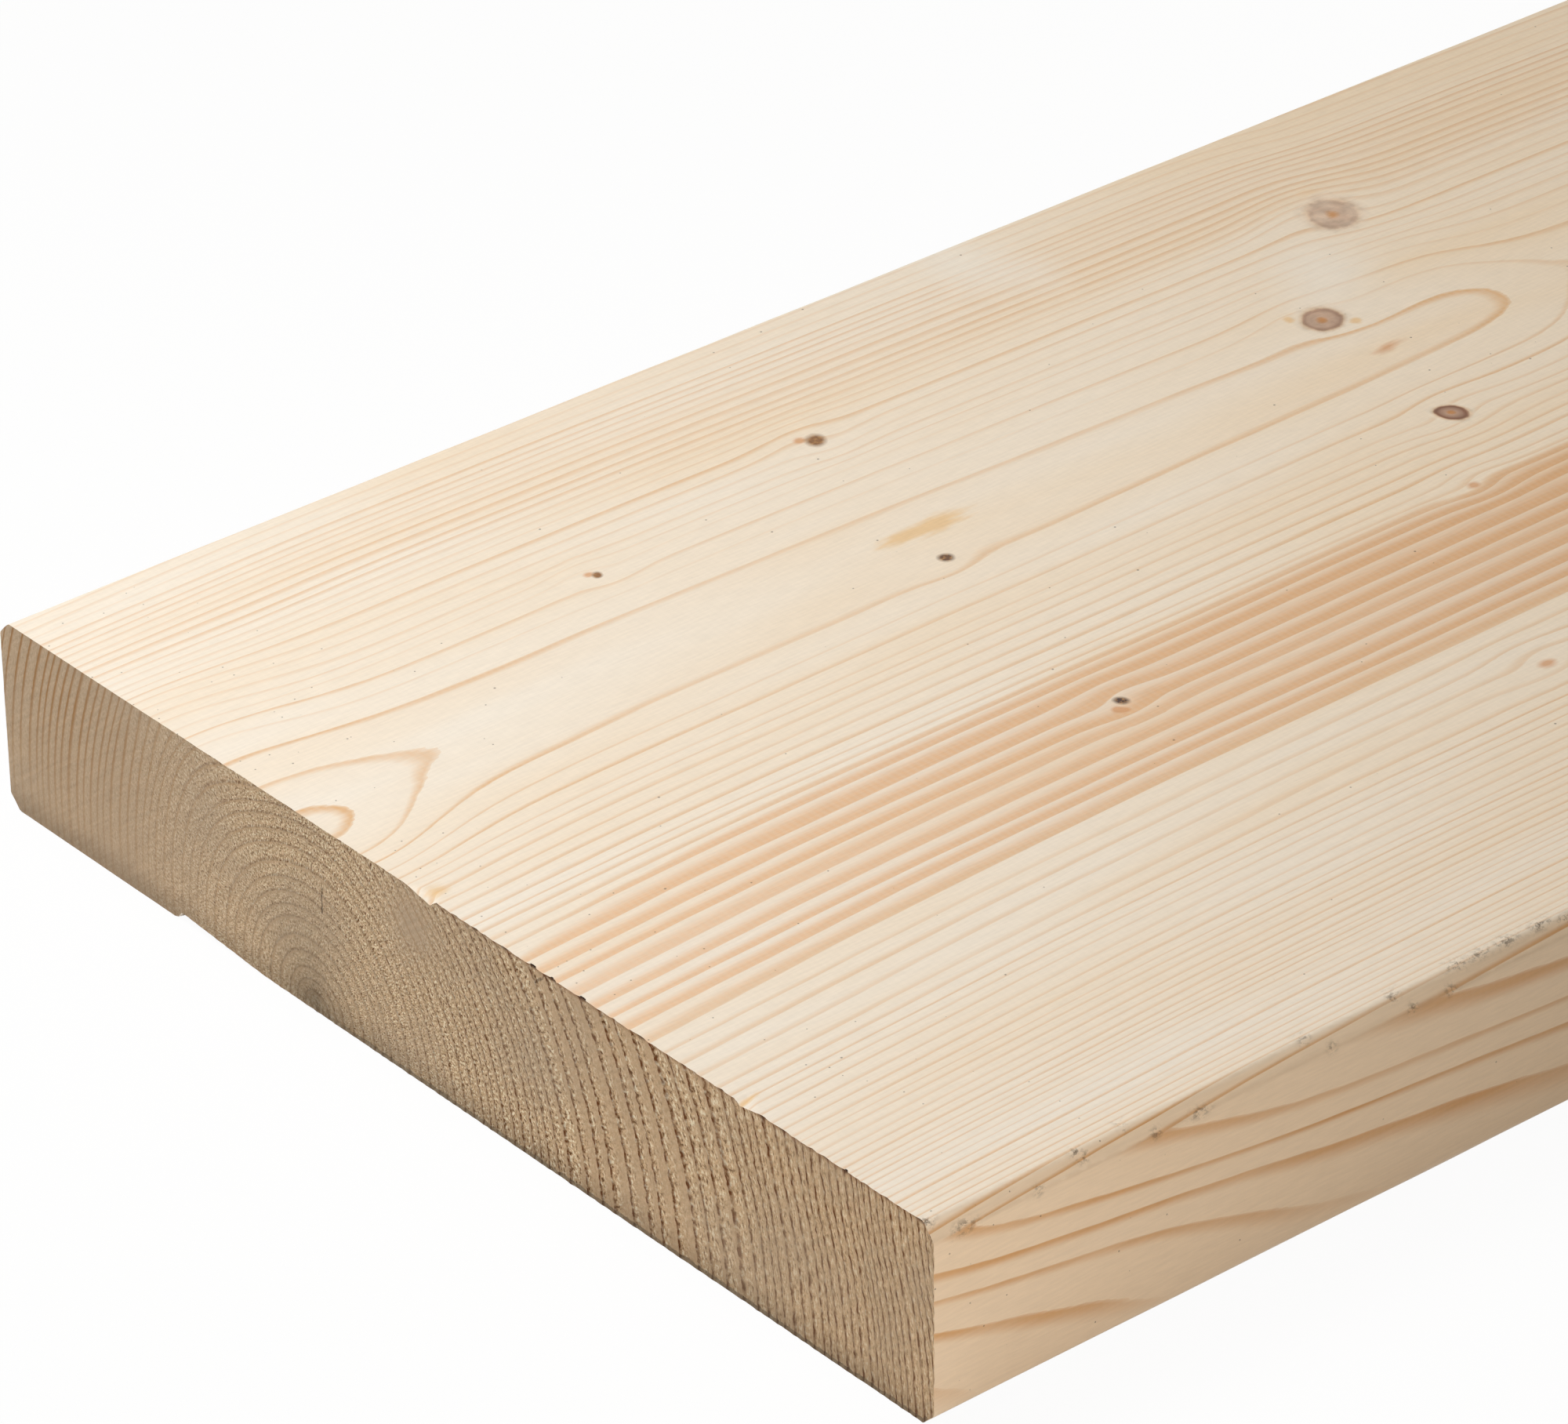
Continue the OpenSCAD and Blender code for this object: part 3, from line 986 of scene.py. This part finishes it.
stops[1].position, stops[1].color = 0.56, colour("#F3E6D2")
knot_stops = ((0.07, "#B98350"), (0.14, "#B8937B"), (0.21, "#AC8870"), (0.28, "#B18D75"), (0.33, "#A47C62"))
knot_rim_stops = ((0.37, "#84553A"), (0.41, "#9A6E50"), (0.46, "#DFC2A0"))
for position, hex_code in knot_stops + knot_rim_stops:
    stop = stops.new(position)
    stop.color = colour(hex_code)
print("live knots have", len(stops), "colour stops")

# %% [markdown]
# Live knots are not all alike. The palest one is almost the colour of the wood round it, every one has a
# brown core, and the deeper toned ones have a dark ring inside their rim. Noise mottles them all.

# %% Planed spruce: cores and rims of live knots
knot_body, knot_core, deep_knot = colour("#E4CDB5"), colour("#C58848"), colour("#6A3C1E")
pale_knot_range = {"Value": knot_dark, "From Min": 0.25, "From Max": 0.7, "To Min": 0.8, "To Max": 0.0}
pale_knot = add(tree, "MapRange", pale_knot_range)
break_place = add(tree, "Mapping", {"Vector": place, "Scale": repeat(5, 5)})
breaks = add(tree, "TexNoise", {"Vector": break_place, "Scale": 1.0, "Detail": 1.0})
break_range = {"Value": breaks, "From Min": 0.4, "From Max": 0.6, "To Min": 0.75, "To Max": 1.15}
break_share = add(tree, "MapRange", break_range)
pale_amount = add(tree, "Math", {0: pale_knot, 1: break_share}, operation="MULTIPLY", use_clamp=True)
live_rings = add(tree, "Mix", {"Factor": pale_amount, FIRST: knot_ramp, SECOND: knot_body}, **BLEND)
core_range = {"Value": knot_rough, "From Min": 0.12, "From Max": 0.4, "To Min": 0.75, "To Max": 0.0}
core_share = add(tree, "MapRange", core_range)
cored_knot = add(tree, "Mix", {"Factor": core_share, FIRST: live_rings, SECOND: knot_core}, **BLEND)
inner_rim = add(tree, "MapRange", {"Value": knot_rough, "From Min": 0.5, "From Max": 0.85, "To Min": 0.15})
outer_range = {"Value": knot_rough, "From Min": 0.95, "From Max": 1.12, "To Min": 0.75, "To Max": 0.0}
outer_rim = add(tree, "MapRange", outer_range)
inside = add(tree, "Math", {0: inner_rim, 1: outer_rim}, operation="MULTIPLY")
deep_tone = add(tree, "MapRange", {"Value": knot_dark, "From Min": 0.56, "From Max": 0.66})
deep_share = add(tree, "Math", {0: inside, 1: deep_tone}, operation="MULTIPLY")
deepened = add(tree, "Mix", {"Factor": deep_share, FIRST: cored_knot, SECOND: deep_knot}, **BLEND)
mottle_range = {"Value": knot_noise, "From Min": 0.35, "From Max": 0.65, "To Min": 0.86, "To Max": 1.08}
mottle = add(tree, "MapRange", mottle_range)
mottle_mix = {"Factor": 1.0, FIRST: deepened, SECOND: mottle}
live_knot = add(tree, "Mix", mottle_mix, blend_type="MULTIPLY", **BLEND)
print("live knots drawn,", len(tree.nodes), "nodes so far")

# %% [markdown]
# A pin knot is a thin dead twig, cut across: brown to black, with paler flecks. Where a branch stopped
# short of the face there is no knot to see and only the grain curls.

# %% Planed spruce: pin knots
# Where a knot starts and ceases to cover the wood, in knot radii, and the tone from which it shows at all.
live_covers, live_ends, pin_covers, pin_ends = 1.1, 1.7, 0.6, 1.25
least_tone = 0.1
pin_brown, pin_dark, pin_fleck = colour("#96683A"), colour("#3A1E0E"), colour("#AA7E4C")
fleck_place = add(tree, "Mapping", {"Vector": place, "Scale": repeat(0.9, 0.9)})
flecks = add(tree, "TexNoise", {"Vector": fleck_place, "Scale": 1.0, "Detail": 2.0})
fleck_share = add(tree, "MapRange", {"Value": flecks, "From Min": 0.46, "From Max": 0.66, "To Max": 0.9})
pin_depth = add(tree, "MapRange", {"Value": knot_dark, "From Min": 0.8, "From Max": 1.0})
pin_body = add(tree, "Mix", {"Factor": pin_depth, FIRST: pin_brown, SECOND: pin_dark}, **BLEND)
pin = add(tree, "Mix", {"Factor": fleck_share, FIRST: pin_body, SECOND: pin_fleck}, **BLEND)
pin_share = add(tree, "MapRange", {"Value": knot_dark, "From Min": 0.7, "From Max": 0.8})
knot_face = add(tree, "Mix", {"Factor": pin_share, FIRST: live_knot, SECOND: pin}, **BLEND)
cover_start = add(tree, "Mix", {"Factor": pin_share, 2: live_covers, 3: pin_covers})
cover_end = add(tree, "Mix", {"Factor": pin_share, 2: live_ends, 3: pin_ends})
cover_range = {"Value": knot_rough, "From Min": cover_start, "From Max": cover_end}
cover_range |= {"To Min": 1.0, "To Max": 0.0}
knot_near = add(tree, "MapRange", cover_range)
knot_shows = add(tree, "Math", {0: knot_dark, 1: least_tone}, operation="GREATER_THAN")
knot_cover = add(tree, "Math", {0: knot_near, 1: knot_shows}, operation="MULTIPLY")
knotted = add(tree, "Mix", {"Factor": knot_cover, FIRST: bleached, SECOND: knot_face}, **BLEND)
print("pin knots are flecked")

# %% [markdown]
# The plank was handled and lay in a yard, so small spots of grey mould and dirt sit in groups on the worn
# chamfers, and a few dark specks are scattered over the faces. A cell pattern places the specks: only the
# cells that drew a high number get one.

# %% Planed spruce: dirt on the chamfers and specks
dirt_colour, speck_reach = colour("#54422F"), 60.0
# How far from its middle a speck starts to fade and ends, in dot sizes.
dot_full, dot_end = 0.7, 1.4
dirt_value = add(tree, "Attribute", attribute_name="dirt", output="Fac")
spot_place = add(tree, "Mapping", {"Vector": place, "Scale": repeat(1.3, 1.0)})
spots_noise = add(tree, "TexNoise", {"Vector": spot_place, "Scale": 1.0, "Detail": 3.0, "Roughness": 0.7})
spot_mask = add(tree, "MapRange", {"Value": spots_noise, "From Min": 0.46, "From Max": 0.6, "To Max": 0.85})
dirt_amount = add(tree, "Math", {0: spot_mask, 1: dirt_value}, operation="MULTIPLY")
end_range = {"Value": along, "From Min": sawn_end.x, "From Max": sawn_end.x + speck_reach * MM}
end_share = add(tree, "MapRange", end_range)
# Size of the cells, dot size in cells, and the number a cell has to draw at the sawn end and further on.
speck_kinds = ((7.0, 0.034, 0.38, 0.64), (2.8, 0.062, 0.56, 0.955))
for speck_cell, dot, near_draw, far_draw in speck_kinds:
    speck_place = add(tree, "Mapping", {"Vector": place, "Scale": repeat(speck_cell, speck_cell)})
    speck_cells = add(tree, "TexVoronoi", {"Vector": speck_place, "Scale": 1.0}, output="Distance")
    speck_draw = add(tree, "SeparateColor", {"Color": speck_cells.node.outputs["Color"]})
    needed = add(tree, "MapRange", {"Value": end_share, "To Min": near_draw, "To Max": far_draw})
    speck_here = add(tree, "Math", {0: speck_draw, 1: needed}, operation="GREATER_THAN")
    speck_range = {"Value": speck_cells, "From Min": dot_full * dot, "From Max": dot_end * dot}
    speck_range |= {"To Min": 0.7, "To Max": 0.0}
    speck_dot = add(tree, "MapRange", speck_range)
    speck_share = add(tree, "Math", {0: speck_dot, 1: speck_here}, operation="MULTIPLY")
    dirt_amount = add(tree, "Math", {0: dirt_amount, 1: speck_share}, operation="MAXIMUM")
    print(f"specks in cells of {speck_cell} mm")
dirty = add(tree, "Mix", {"Factor": dirt_amount, FIRST: knotted, SECOND: dirt_colour}, **BLEND)

# %% [markdown]
# A planed face is smooth to the hand but not polished. Wood has an IOR of about 1.5, and a roughness of
# a little over a half gives the dull sheen of bare wood. The knife marks and fibres go into a bump that is
# less than a tenth of a millimetre deep, too shallow to need geometry.

# %% Planed spruce: surface
knife_relief = 0.4
fine_light = add(tree, "Math", {0: fibre_light, 1: knife_light}, operation="MULTIPLY")
fine_mix = {"Factor": 1.0, FIRST: dirty, SECOND: fine_light}
planed_colour = add(tree, "Mix", fine_mix, blend_type="MULTIPLY", **BLEND)
fine_relief = add(tree, "Math", {0: knife, 1: knife_relief, 2: fibres}, operation="MULTIPLY_ADD")
planed_bump = add(tree, "Bump", {"Height": fine_relief, "Strength": 0.3, "Distance": 0.06 * MM})
planed_surface = {"Base Color": planed_colour, "Roughness": 0.58, "IOR": 1.5, "Normal": planed_bump}
planed_shader = add(tree, "BsdfPrincipled", planed_surface)
add(tree, "OutputMaterial", {"Surface": planed_shader})
mesh.materials.append(planed)
print("planed spruce has", len(tree.nodes), "nodes")

# %% [markdown]
# ## Cross-cut spruce
# On a sawn end the wood is cut across its tubes. They swallow light, so the end is greyer and darker
# than the planed faces. Late wood shows as smooth stripes, the early wood between them is torn into
# pale fibre tips and pits that are painted dark as shade, and a painted shadow runs as a dark line along
# the sharp edge of each ring.

# %% Cross-cut spruce: rings
# How far noise shifts a ring's edge where the saw tore, in rings.
wobble_rings = 0.17
# How many of its own widths the late wood starts before one place in the ring, and is full before its end.
stripe_start, stripe_full, stripe_place = -1.6, -0.6, 0.95
# Ring numbers between which the rings get narrow, and what share of a ring its painted edge shadow then
# takes.
wide_until, narrow_from = 38.0, 50.0
wide_edge_full, wide_edge_end, narrow_edge_full, narrow_edge_end = 0.08, 0.21, 0.13, 0.3
sawn, tree = new_tree("cross_cut_spruce")
place = add(tree, "TexCoord", output="Object")
ring_value, late_value, turn_value, torn_value = (
    add(tree, "Attribute", attribute_name=name, output="Fac") for name in ("ring", "late", "turn", "torn")
)
wobble_place = add(tree, "Mapping", {"Vector": place, "Scale": repeat(1.3, 1.3)})
wobble = add(tree, "TexNoise", {"Vector": wobble_place, "Scale": 1.0, "Detail": 3.0})
wobble_size = add(tree, "Math", {0: torn_value, 1: wobble_rings}, operation="MULTIPLY")
torn_ring = add(tree, "Math", {0: wobble, 1: wobble_size, 2: ring_value}, operation="MULTIPLY_ADD")
share = add(tree, "Math", {0: torn_ring}, operation="FRACT")
late_start = add(tree, "Math", {0: late_value, 1: stripe_start, 2: stripe_place}, operation="MULTIPLY_ADD")
late_full = add(tree, "Math", {0: late_value, 1: stripe_full, 2: 1.0}, operation="MULTIPLY_ADD")
late_range = {"Value": share, "From Min": late_start, "From Max": late_full}
late_wood = add(tree, "MapRange", late_range, interpolation_type="SMOOTHSTEP")
narrow_rings = add(tree, "MapRange", {"Value": ring_value, "From Min": wide_until, "From Max": narrow_from})
edge_full = add(tree, "Mix", {"Factor": narrow_rings, 2: wide_edge_full, 3: narrow_edge_full})
edge_end = add(tree, "Mix", {"Factor": narrow_rings, 2: wide_edge_end, 3: narrow_edge_end})
edge_range = {"Value": share, "From Min": edge_full, "From Max": edge_end, "To Min": 1.0, "To Max": 0.0}
edge_shadow = add(tree, "MapRange", edge_range)
print("rings of the sawn end drawn from", len(tree.nodes), "nodes")

# %% [markdown]
# The fibre tips lie in rows along the rings, so their noise is drawn in ring space: across the rings one
# way, round the pith the other way. Some noise without a direction is mixed in, because a saw leaves fuzz.

# %% Cross-cut spruce: torn fibres
# Single tubes are about 0.03 mm wide and too fine to show, so a tip is drawn as a tuft of many tubes.
tip_across, tip_along = 0.45, 1.0
# Length of the dashes along the rings, and how much slower than the tips they change across them.
dash_length, dash_slower = 1.6, 0.3
ring_millimetres, fuzz_share = 3.0, 0.35
across_rings = add(tree, "Math", {0: ring_value, 1: ring_millimetres / tip_across}, operation="MULTIPLY")
round_pith = add(tree, "Math", {0: turn_value, 1: 1 / tip_along}, operation="MULTIPLY")
tip_place = add(tree, "CombineXYZ", {"X": across_rings, "Y": round_pith})
tips = add(tree, "TexNoise", {"Vector": tip_place, "Scale": 1.0, "Detail": 2.0, "Roughness": 0.6})
dash_scale = (dash_slower, tip_along / dash_length, 1.0)
dash_place = add(tree, "Mapping", {"Vector": tip_place, "Scale": dash_scale})
dashes = add(tree, "TexNoise", {"Vector": dash_place, "Scale": 1.0, "Detail": 2.0})
fuzz_place = add(tree, "Mapping", {"Vector": place, "Scale": repeat(0.7, 0.7)})
fuzz = add(tree, "TexNoise", {"Vector": fuzz_place, "Scale": 1.0, "Detail": 3.0, "Roughness": 0.65})
fibre_height = add(tree, "Mix", {"Factor": fuzz_share, 2: tips, 3: fuzz})
print(f"fibre tips {tip_across} by {tip_along} mm")

# %% [markdown]
# The torn fibres run from pits, painted dark as shade, over plain wood to pale tips, and they are calmer
# towards the right side. Where the saw ran smooth, there are no pits, and the late wood shows as soft brown
# lines that fade downwards and to the right. Where it tore, the late wood shows as smooth stripes.

# %% Cross-cut spruce: colours
# Where the fibres get calmer, across, and where the brown lines get stronger, upwards and to the left.
calm_from, calm_full = -60.0, -105.0
line_low, line_high = 4.0, 34.0
left_from, left_full = 92.0, 122.0
pit_shade, plain, fibre_tip = colour("#64401F"), colour("#D9BB96"), colour("#FFF5DC")
smooth_plain, smooth_stripe = colour("#C1AA90"), colour("#CFB291")
brown_line, torn_strength = colour("#A27648"), 0.85
# The ramp paints the low parts of the fibre relief dark, as painted shade in the pits.
torn_ramp = add(tree, "ValToRGB", {"Fac": fibre_height})
stops = torn_ramp.node.color_ramp.elements
stops[0].position, stops[0].color = 0.39, pit_shade
stops[1].position, stops[1].color = 0.59, fibre_tip
for position in (0.47, 0.52):
    stop = stops.new(position)
    stop.color = plain
rough_share = add(tree, "MapRange", {"Value": torn_value, "From Min": 0.25, "To Min": 0.12, "To Max": 1.0})
torn_ground = add(tree, "Mix", {"Factor": rough_share, FIRST: smooth_plain, SECOND: torn_ramp}, **BLEND)
stripe = add(tree, "Mix", {"Factor": rough_share, FIRST: brown_line, SECOND: smooth_stripe}, **BLEND)
height = add(tree, "SeparateXYZ", {"Vector": place}, output="Z")
across = height.node.outputs["Y"]
calm_range = {"Value": across, "From Min": calm_from * MM, "From Max": calm_full * MM, "To Max": 0.4}
calm_share = add(tree, "MapRange", calm_range)
ground = add(tree, "Mix", {"Factor": calm_share, FIRST: torn_ground, SECOND: plain}, **BLEND)
fade_range = {"Value": height, "From Min": line_low * MM, "From Max": line_high * MM}
fade_range |= {"To Min": 0.2, "To Max": 0.95}
line_fade = add(tree, "MapRange", fade_range)
left_range = {"Value": across, "From Min": left_from * MM, "From Max": left_full * MM}
left_range |= {"To Min": 0.5, "To Max": 1.05}
left_share = add(tree, "MapRange", left_range)
smooth_strength = add(tree, "Math", {0: line_fade, 1: left_share}, operation="MULTIPLY")
stripe_strength = add(tree, "Mix", {"Factor": rough_share, 2: smooth_strength, 3: torn_strength})
stripe_share = add(tree, "Math", {0: late_wood, 1: stripe_strength}, operation="MULTIPLY")
striped = add(tree, "Mix", {"Factor": stripe_share, FIRST: ground, SECOND: stripe}, **BLEND)
print("sawn end has", len(stops), "fibre colours")

# %% [markdown]
# Along the sharp edge of each ring the saw tore deepest, and the shadow in that tear is painted as a dark
# broken line. The first rings round the pith have softer edges. Grey clouds lie over the end, as on wood
# that got damp and dried again.

# %% Cross-cut spruce: painted edge shadows and grey clouds
edge_shadow_colour, grey_wood = colour("#6C3F1E"), colour("#BBA994")
# Ring numbers between which the edges of the rings get their full strength.
young_until, grown_from = 12.0, 24.0
dash_share = add(tree, "MapRange", {"Value": dashes, "From Min": 0.4, "From Max": 0.58, "To Min": 0.3})
grown_range = {"Value": ring_value, "From Min": young_until, "From Max": grown_from, "To Min": 0.55}
grown_share = add(tree, "MapRange", grown_range)
edge_grown = add(tree, "Math", {0: edge_shadow, 1: grown_share}, operation="MULTIPLY")
edge_dashes = add(tree, "Math", {0: edge_grown, 1: dash_share}, operation="MULTIPLY")
edge_shadow_share = add(tree, "Math", {0: edge_dashes, 1: rough_share}, operation="MULTIPLY")
lined = add(tree, "Mix", {"Factor": edge_shadow_share, FIRST: striped, SECOND: edge_shadow_colour}, **BLEND)
cloud_place = add(tree, "Mapping", {"Vector": place, "Scale": repeat(26, 26)})
clouds = add(tree, "TexNoise", {"Vector": cloud_place, "Scale": 1.0, "Detail": 2.0})
cloud_share = add(tree, "MapRange", {"Value": clouds, "From Min": 0.45, "From Max": 0.7, "To Max": 0.35})
greyed = add(tree, "Mix", {"Factor": cloud_share, FIRST: lined, SECOND: grey_wood}, **BLEND)
print("cross-cut spruce so far:", len(tree.nodes), "nodes")

# %% [markdown]
# The teeth of the saw left slanting scratches, and the end cracked a little as it dried. The cracks are
# painted dark, as painted shade inside them. Noise shifts and breaks the cracks, so that they don't look
# drawn with a ruler.

# %% Cross-cut spruce: scratches and cracks
scratch_pitch, scratch_length, scratch_tilt = 0.9, 14.0, math.radians(38)
crack_shade_colour, crack_wander = colour("#40281A"), 1.0
scratch_turn = add(tree, "Mapping", {"Vector": place, "Rotation": (scratch_tilt, 0, 0)})
scratch_scale = (0.0, 1 / (scratch_length * MM), 1 / (scratch_pitch * MM))
scratch_place = add(tree, "Mapping", {"Vector": scratch_turn, "Scale": scratch_scale})
scratches = add(tree, "TexNoise", {"Vector": scratch_place, "Scale": 1.0, "Detail": 1.0})
scratch_light = add(tree, "MapRange", {"Value": scratches, **NOISE_SPAN, "To Min": 0.94, "To Max": 1.05})
crack_value = add(tree, "Attribute", attribute_name="crack", output="Fac")
crack_wobble = add(tree, "Math", {0: wobble, 1: crack_wander, 2: crack_value}, operation="MULTIPLY_ADD")
crack_centre = add(tree, "Math", {0: crack_wobble, 1: -NOISE_MIDDLE}, operation="ADD")
crack_away = add(tree, "Math", {0: crack_centre}, operation="ABSOLUTE")
crack_range = {"Value": crack_away, "From Min": 0.1, "From Max": 0.36, "To Min": 0.85, "To Max": 0.0}
crack_shade_line = add(tree, "MapRange", crack_range)
crack_break = add(tree, "MapRange", {"Value": fuzz, "From Min": 0.4, "From Max": 0.6, "To Min": 0.35})
crack_shade_share = add(tree, "Math", {0: crack_shade_line, 1: crack_break}, operation="MULTIPLY")
cracked = add(tree, "Mix", {"Factor": crack_shade_share, FIRST: greyed, SECOND: crack_shade_colour}, **BLEND)
print(f"saw scratches {scratch_pitch} mm apart")

# %% [markdown]
# Along the upper arris the saw left a brown fringe and small chips, where it came out of the wood. The chips
# are painted dark, partly as dirt and partly as painted shade inside them. The lower edge is painted darker,
# as painted shade where the end meets the floor.

# %% Cross-cut spruce: chips, fringe and dirt
# The chips are painted dark, partly as dirt and partly as painted shade inside them.
chip_dirt_and_shade, fringe = colour("#452A1B"), colour("#8A5230")
# Heights between which the fringe sets in, where it sets in across, and how far up the painted shade of the
# lower edge reaches.
fringe_low, fringe_high = thickness - 1.1, thickness - 0.2
fringe_from, fringe_full = 25.0, -10.0
low_shade_height = 8.0
chip_value = add(tree, "Attribute", attribute_name="chip", output="Fac")
chip_dirt_and_shade_share = add(tree, "MapRange", {"Value": chip_value, "From Min": 0.2, "From Max": 0.7, "To Max": 0.8})
fringe_range = {"Value": height, "From Min": fringe_low * MM, "From Max": fringe_high * MM, "To Max": 0.6}
fringe_height = add(tree, "MapRange", fringe_range)
fringe_side = {"Value": across, "From Min": fringe_from * MM, "From Max": fringe_full * MM}
fringe_place = add(tree, "MapRange", fringe_side)
fringe_whole = add(tree, "Math", {0: fringe_height, 1: fringe_place}, operation="MULTIPLY")
fringe_share = add(tree, "Math", {0: fringe_whole, 1: crack_break}, operation="MULTIPLY")
fringed = add(tree, "Mix", {"Factor": fringe_share, FIRST: cracked, SECOND: fringe}, **BLEND)
chipped = add(tree, "Mix", {"Factor": chip_dirt_and_shade_share, FIRST: fringed, SECOND: chip_dirt_and_shade}, **BLEND)
# Painted shade: towards its lower edge the sawn end is darkened to 72 percent.
low_shade_range = {"Value": height, "From Max": low_shade_height * MM, "To Min": 0.72, "To Max": 1.0}
low_edge_shade = add(tree, "MapRange", low_shade_range, interpolation_type="SMOOTHSTEP")
sawn_light = add(tree, "Math", {0: low_edge_shade, 1: scratch_light}, operation="MULTIPLY")
# The height printed here is that of the painted shade along the lower edge.
print(f"dirt up to {low_shade_height} mm from the floor")

# %% [markdown]
# A sawn end is matt: its open tubes scatter the light, so it has hardly any highlight. The bump adds the
# fibres that are finer than the mesh, deep where the saw tore and flat where it ran smooth.

# %% Cross-cut spruce: surface
light_mix = {"Factor": 1.0, FIRST: chipped, SECOND: sawn_light}
sawn_colour = add(tree, "Mix", light_mix, blend_type="MULTIPLY", **BLEND)
sawn_strength = add(tree, "MapRange", {"Value": torn_value, "To Min": 0.1, "To Max": 1.0})
sawn_bump = add(tree, "Bump", {"Height": fibre_height, "Strength": sawn_strength, "Distance": 0.6 * MM})
sawn_surface = {"Base Color": sawn_colour, "Roughness": 0.9, "Specular IOR Level": 0.2, "Normal": sawn_bump}
sawn_shader = add(tree, "BsdfPrincipled", sawn_surface)
add(tree, "OutputMaterial", {"Surface": sawn_shader})
mesh.materials.append(sawn)
print("cross-cut spruce has", len(tree.nodes), "nodes")

# %% [markdown]
# ## Floor and backdrop
# The plank lies on a sheet of white paper that runs far back. The camera sees it as white, with a light
# shadow left under the plank, while for the wood it is ordinary paper that throws light back.

# %% A white paper floor


def seen_directly(tree):
    """1 for a ray from the camera, off a glossy surface or through glass, and 0 for light on the wood."""
    path = add(tree, "LightPath").node.outputs
    seen = add(tree, "Math", {0: path["Is Camera Ray"], 1: path["Is Glossy Ray"]}, operation="ADD")
    return add(tree, "Math", {0: seen, 1: path["Is Transmission Ray"]}, operation="ADD", use_clamp=True)


floor_reach = 40.0
floor_gap = 0.2
glow_share = 0.95
floor_mesh = bpy.data.meshes.new("floor")
floor_corners = [(x * floor_reach, y * floor_reach, 0) for x, y in ((-1, -1), (1, -1), (1, 1), (-1, 1))]
floor_mesh.from_pydata(floor_corners, [], [(0, 1, 2, 3)])
floor = bpy.data.objects.new("floor", floor_mesh)
floor.location.z = low_corner.z - floor_gap * MM
scene.collection.objects.link(floor)
paper, tree = new_tree("white_paper")
glow_amount = add(tree, "Math", {0: seen_directly(tree), 1: glow_share}, operation="MULTIPLY")
sheet = add(tree, "BsdfDiffuse", {"Color": colour("#F4F4F2")})
glow = add(tree, "Emission", {"Color": colour("#FFFFFF"), "Strength": 1.0})
paper_shader = add(tree, "MixShader", {0: glow_amount, 1: sheet, 2: glow})
add(tree, "OutputMaterial", {"Surface": paper_shader})
floor_mesh.materials.append(paper)
print(f"paper {2 * floor_reach:.0f} m wide")

# %% [markdown]
# ## Light
# A soft lamp hangs low over the near left corner, so the light fades towards the right and the back. A
# pale sky fills the shadows, and a small warm lamp near the right side lifts the near corner of the two
# upright faces. A second soft lamp further back lights the rest of the plank for views from other sides.
# Their power is set so that an upward face near the front gets about as much light as white needs.

# %% Sky and lamps
sky_level = 0.25
world = bpy.data.worlds.new("studio")
scene.world = world
world.use_nodes = True
tree = world.node_tree
tree.nodes.clear()
sky = add(tree, "Background", {"Color": colour("#FBF0E0"), "Strength": sky_level})
white = add(tree, "Background", {"Color": colour("#FFFFFF"), "Strength": 1.0})
studio = add(tree, "MixShader", {0: seen_directly(tree), 1: sky, 2: white})
add(tree, "OutputWorld", {"Surface": studio})


def softbox(name, stand, aim, size, power, spread, hex_code):
    """A square soft lamp that shines from one place to another, both in plank millimetres."""
    lamp = bpy.data.lights.new(name, "AREA")
    lamp.shape = "SQUARE"
    lamp.size = size * MM
    lamp.energy = power
    lamp.spread = math.radians(spread)
    lamp.color = colour(hex_code)[:3]
    holder = bpy.data.objects.new(name, lamp)
    holder.visible_camera = False
    holder.location = to_metres(stand)
    holder.rotation_mode = "QUATERNION"
    holder.rotation_quaternion = (Vector(aim) - Vector(stand)).to_track_quat("-Z", "Y")
    scene.collection.objects.link(holder)


# Name, where it stands and aims, its size, its power in watts, its spread in degrees, and its colour.
lamps = (
    ("key_lamp", (-140, 245, 685), (60, 70, 0), 450, 4.3, 180, "#FFFFFF"),
    ("back_lamp", (1250, 60, 1500), (1250, 0, 0), 900, 2.1, 55, "#FFFDFA"),
    ("side_lamp", (-65, -330, 85), (40, -147, 20), 180, 0.18, 180, "#FFF0E0"),
)
for lamp_values in lamps:
    softbox(*lamp_values)
print(len(lamps), "lamps and a pale sky")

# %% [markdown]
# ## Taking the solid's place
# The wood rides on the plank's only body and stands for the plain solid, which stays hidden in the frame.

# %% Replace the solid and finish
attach(plank, "root")
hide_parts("plank")
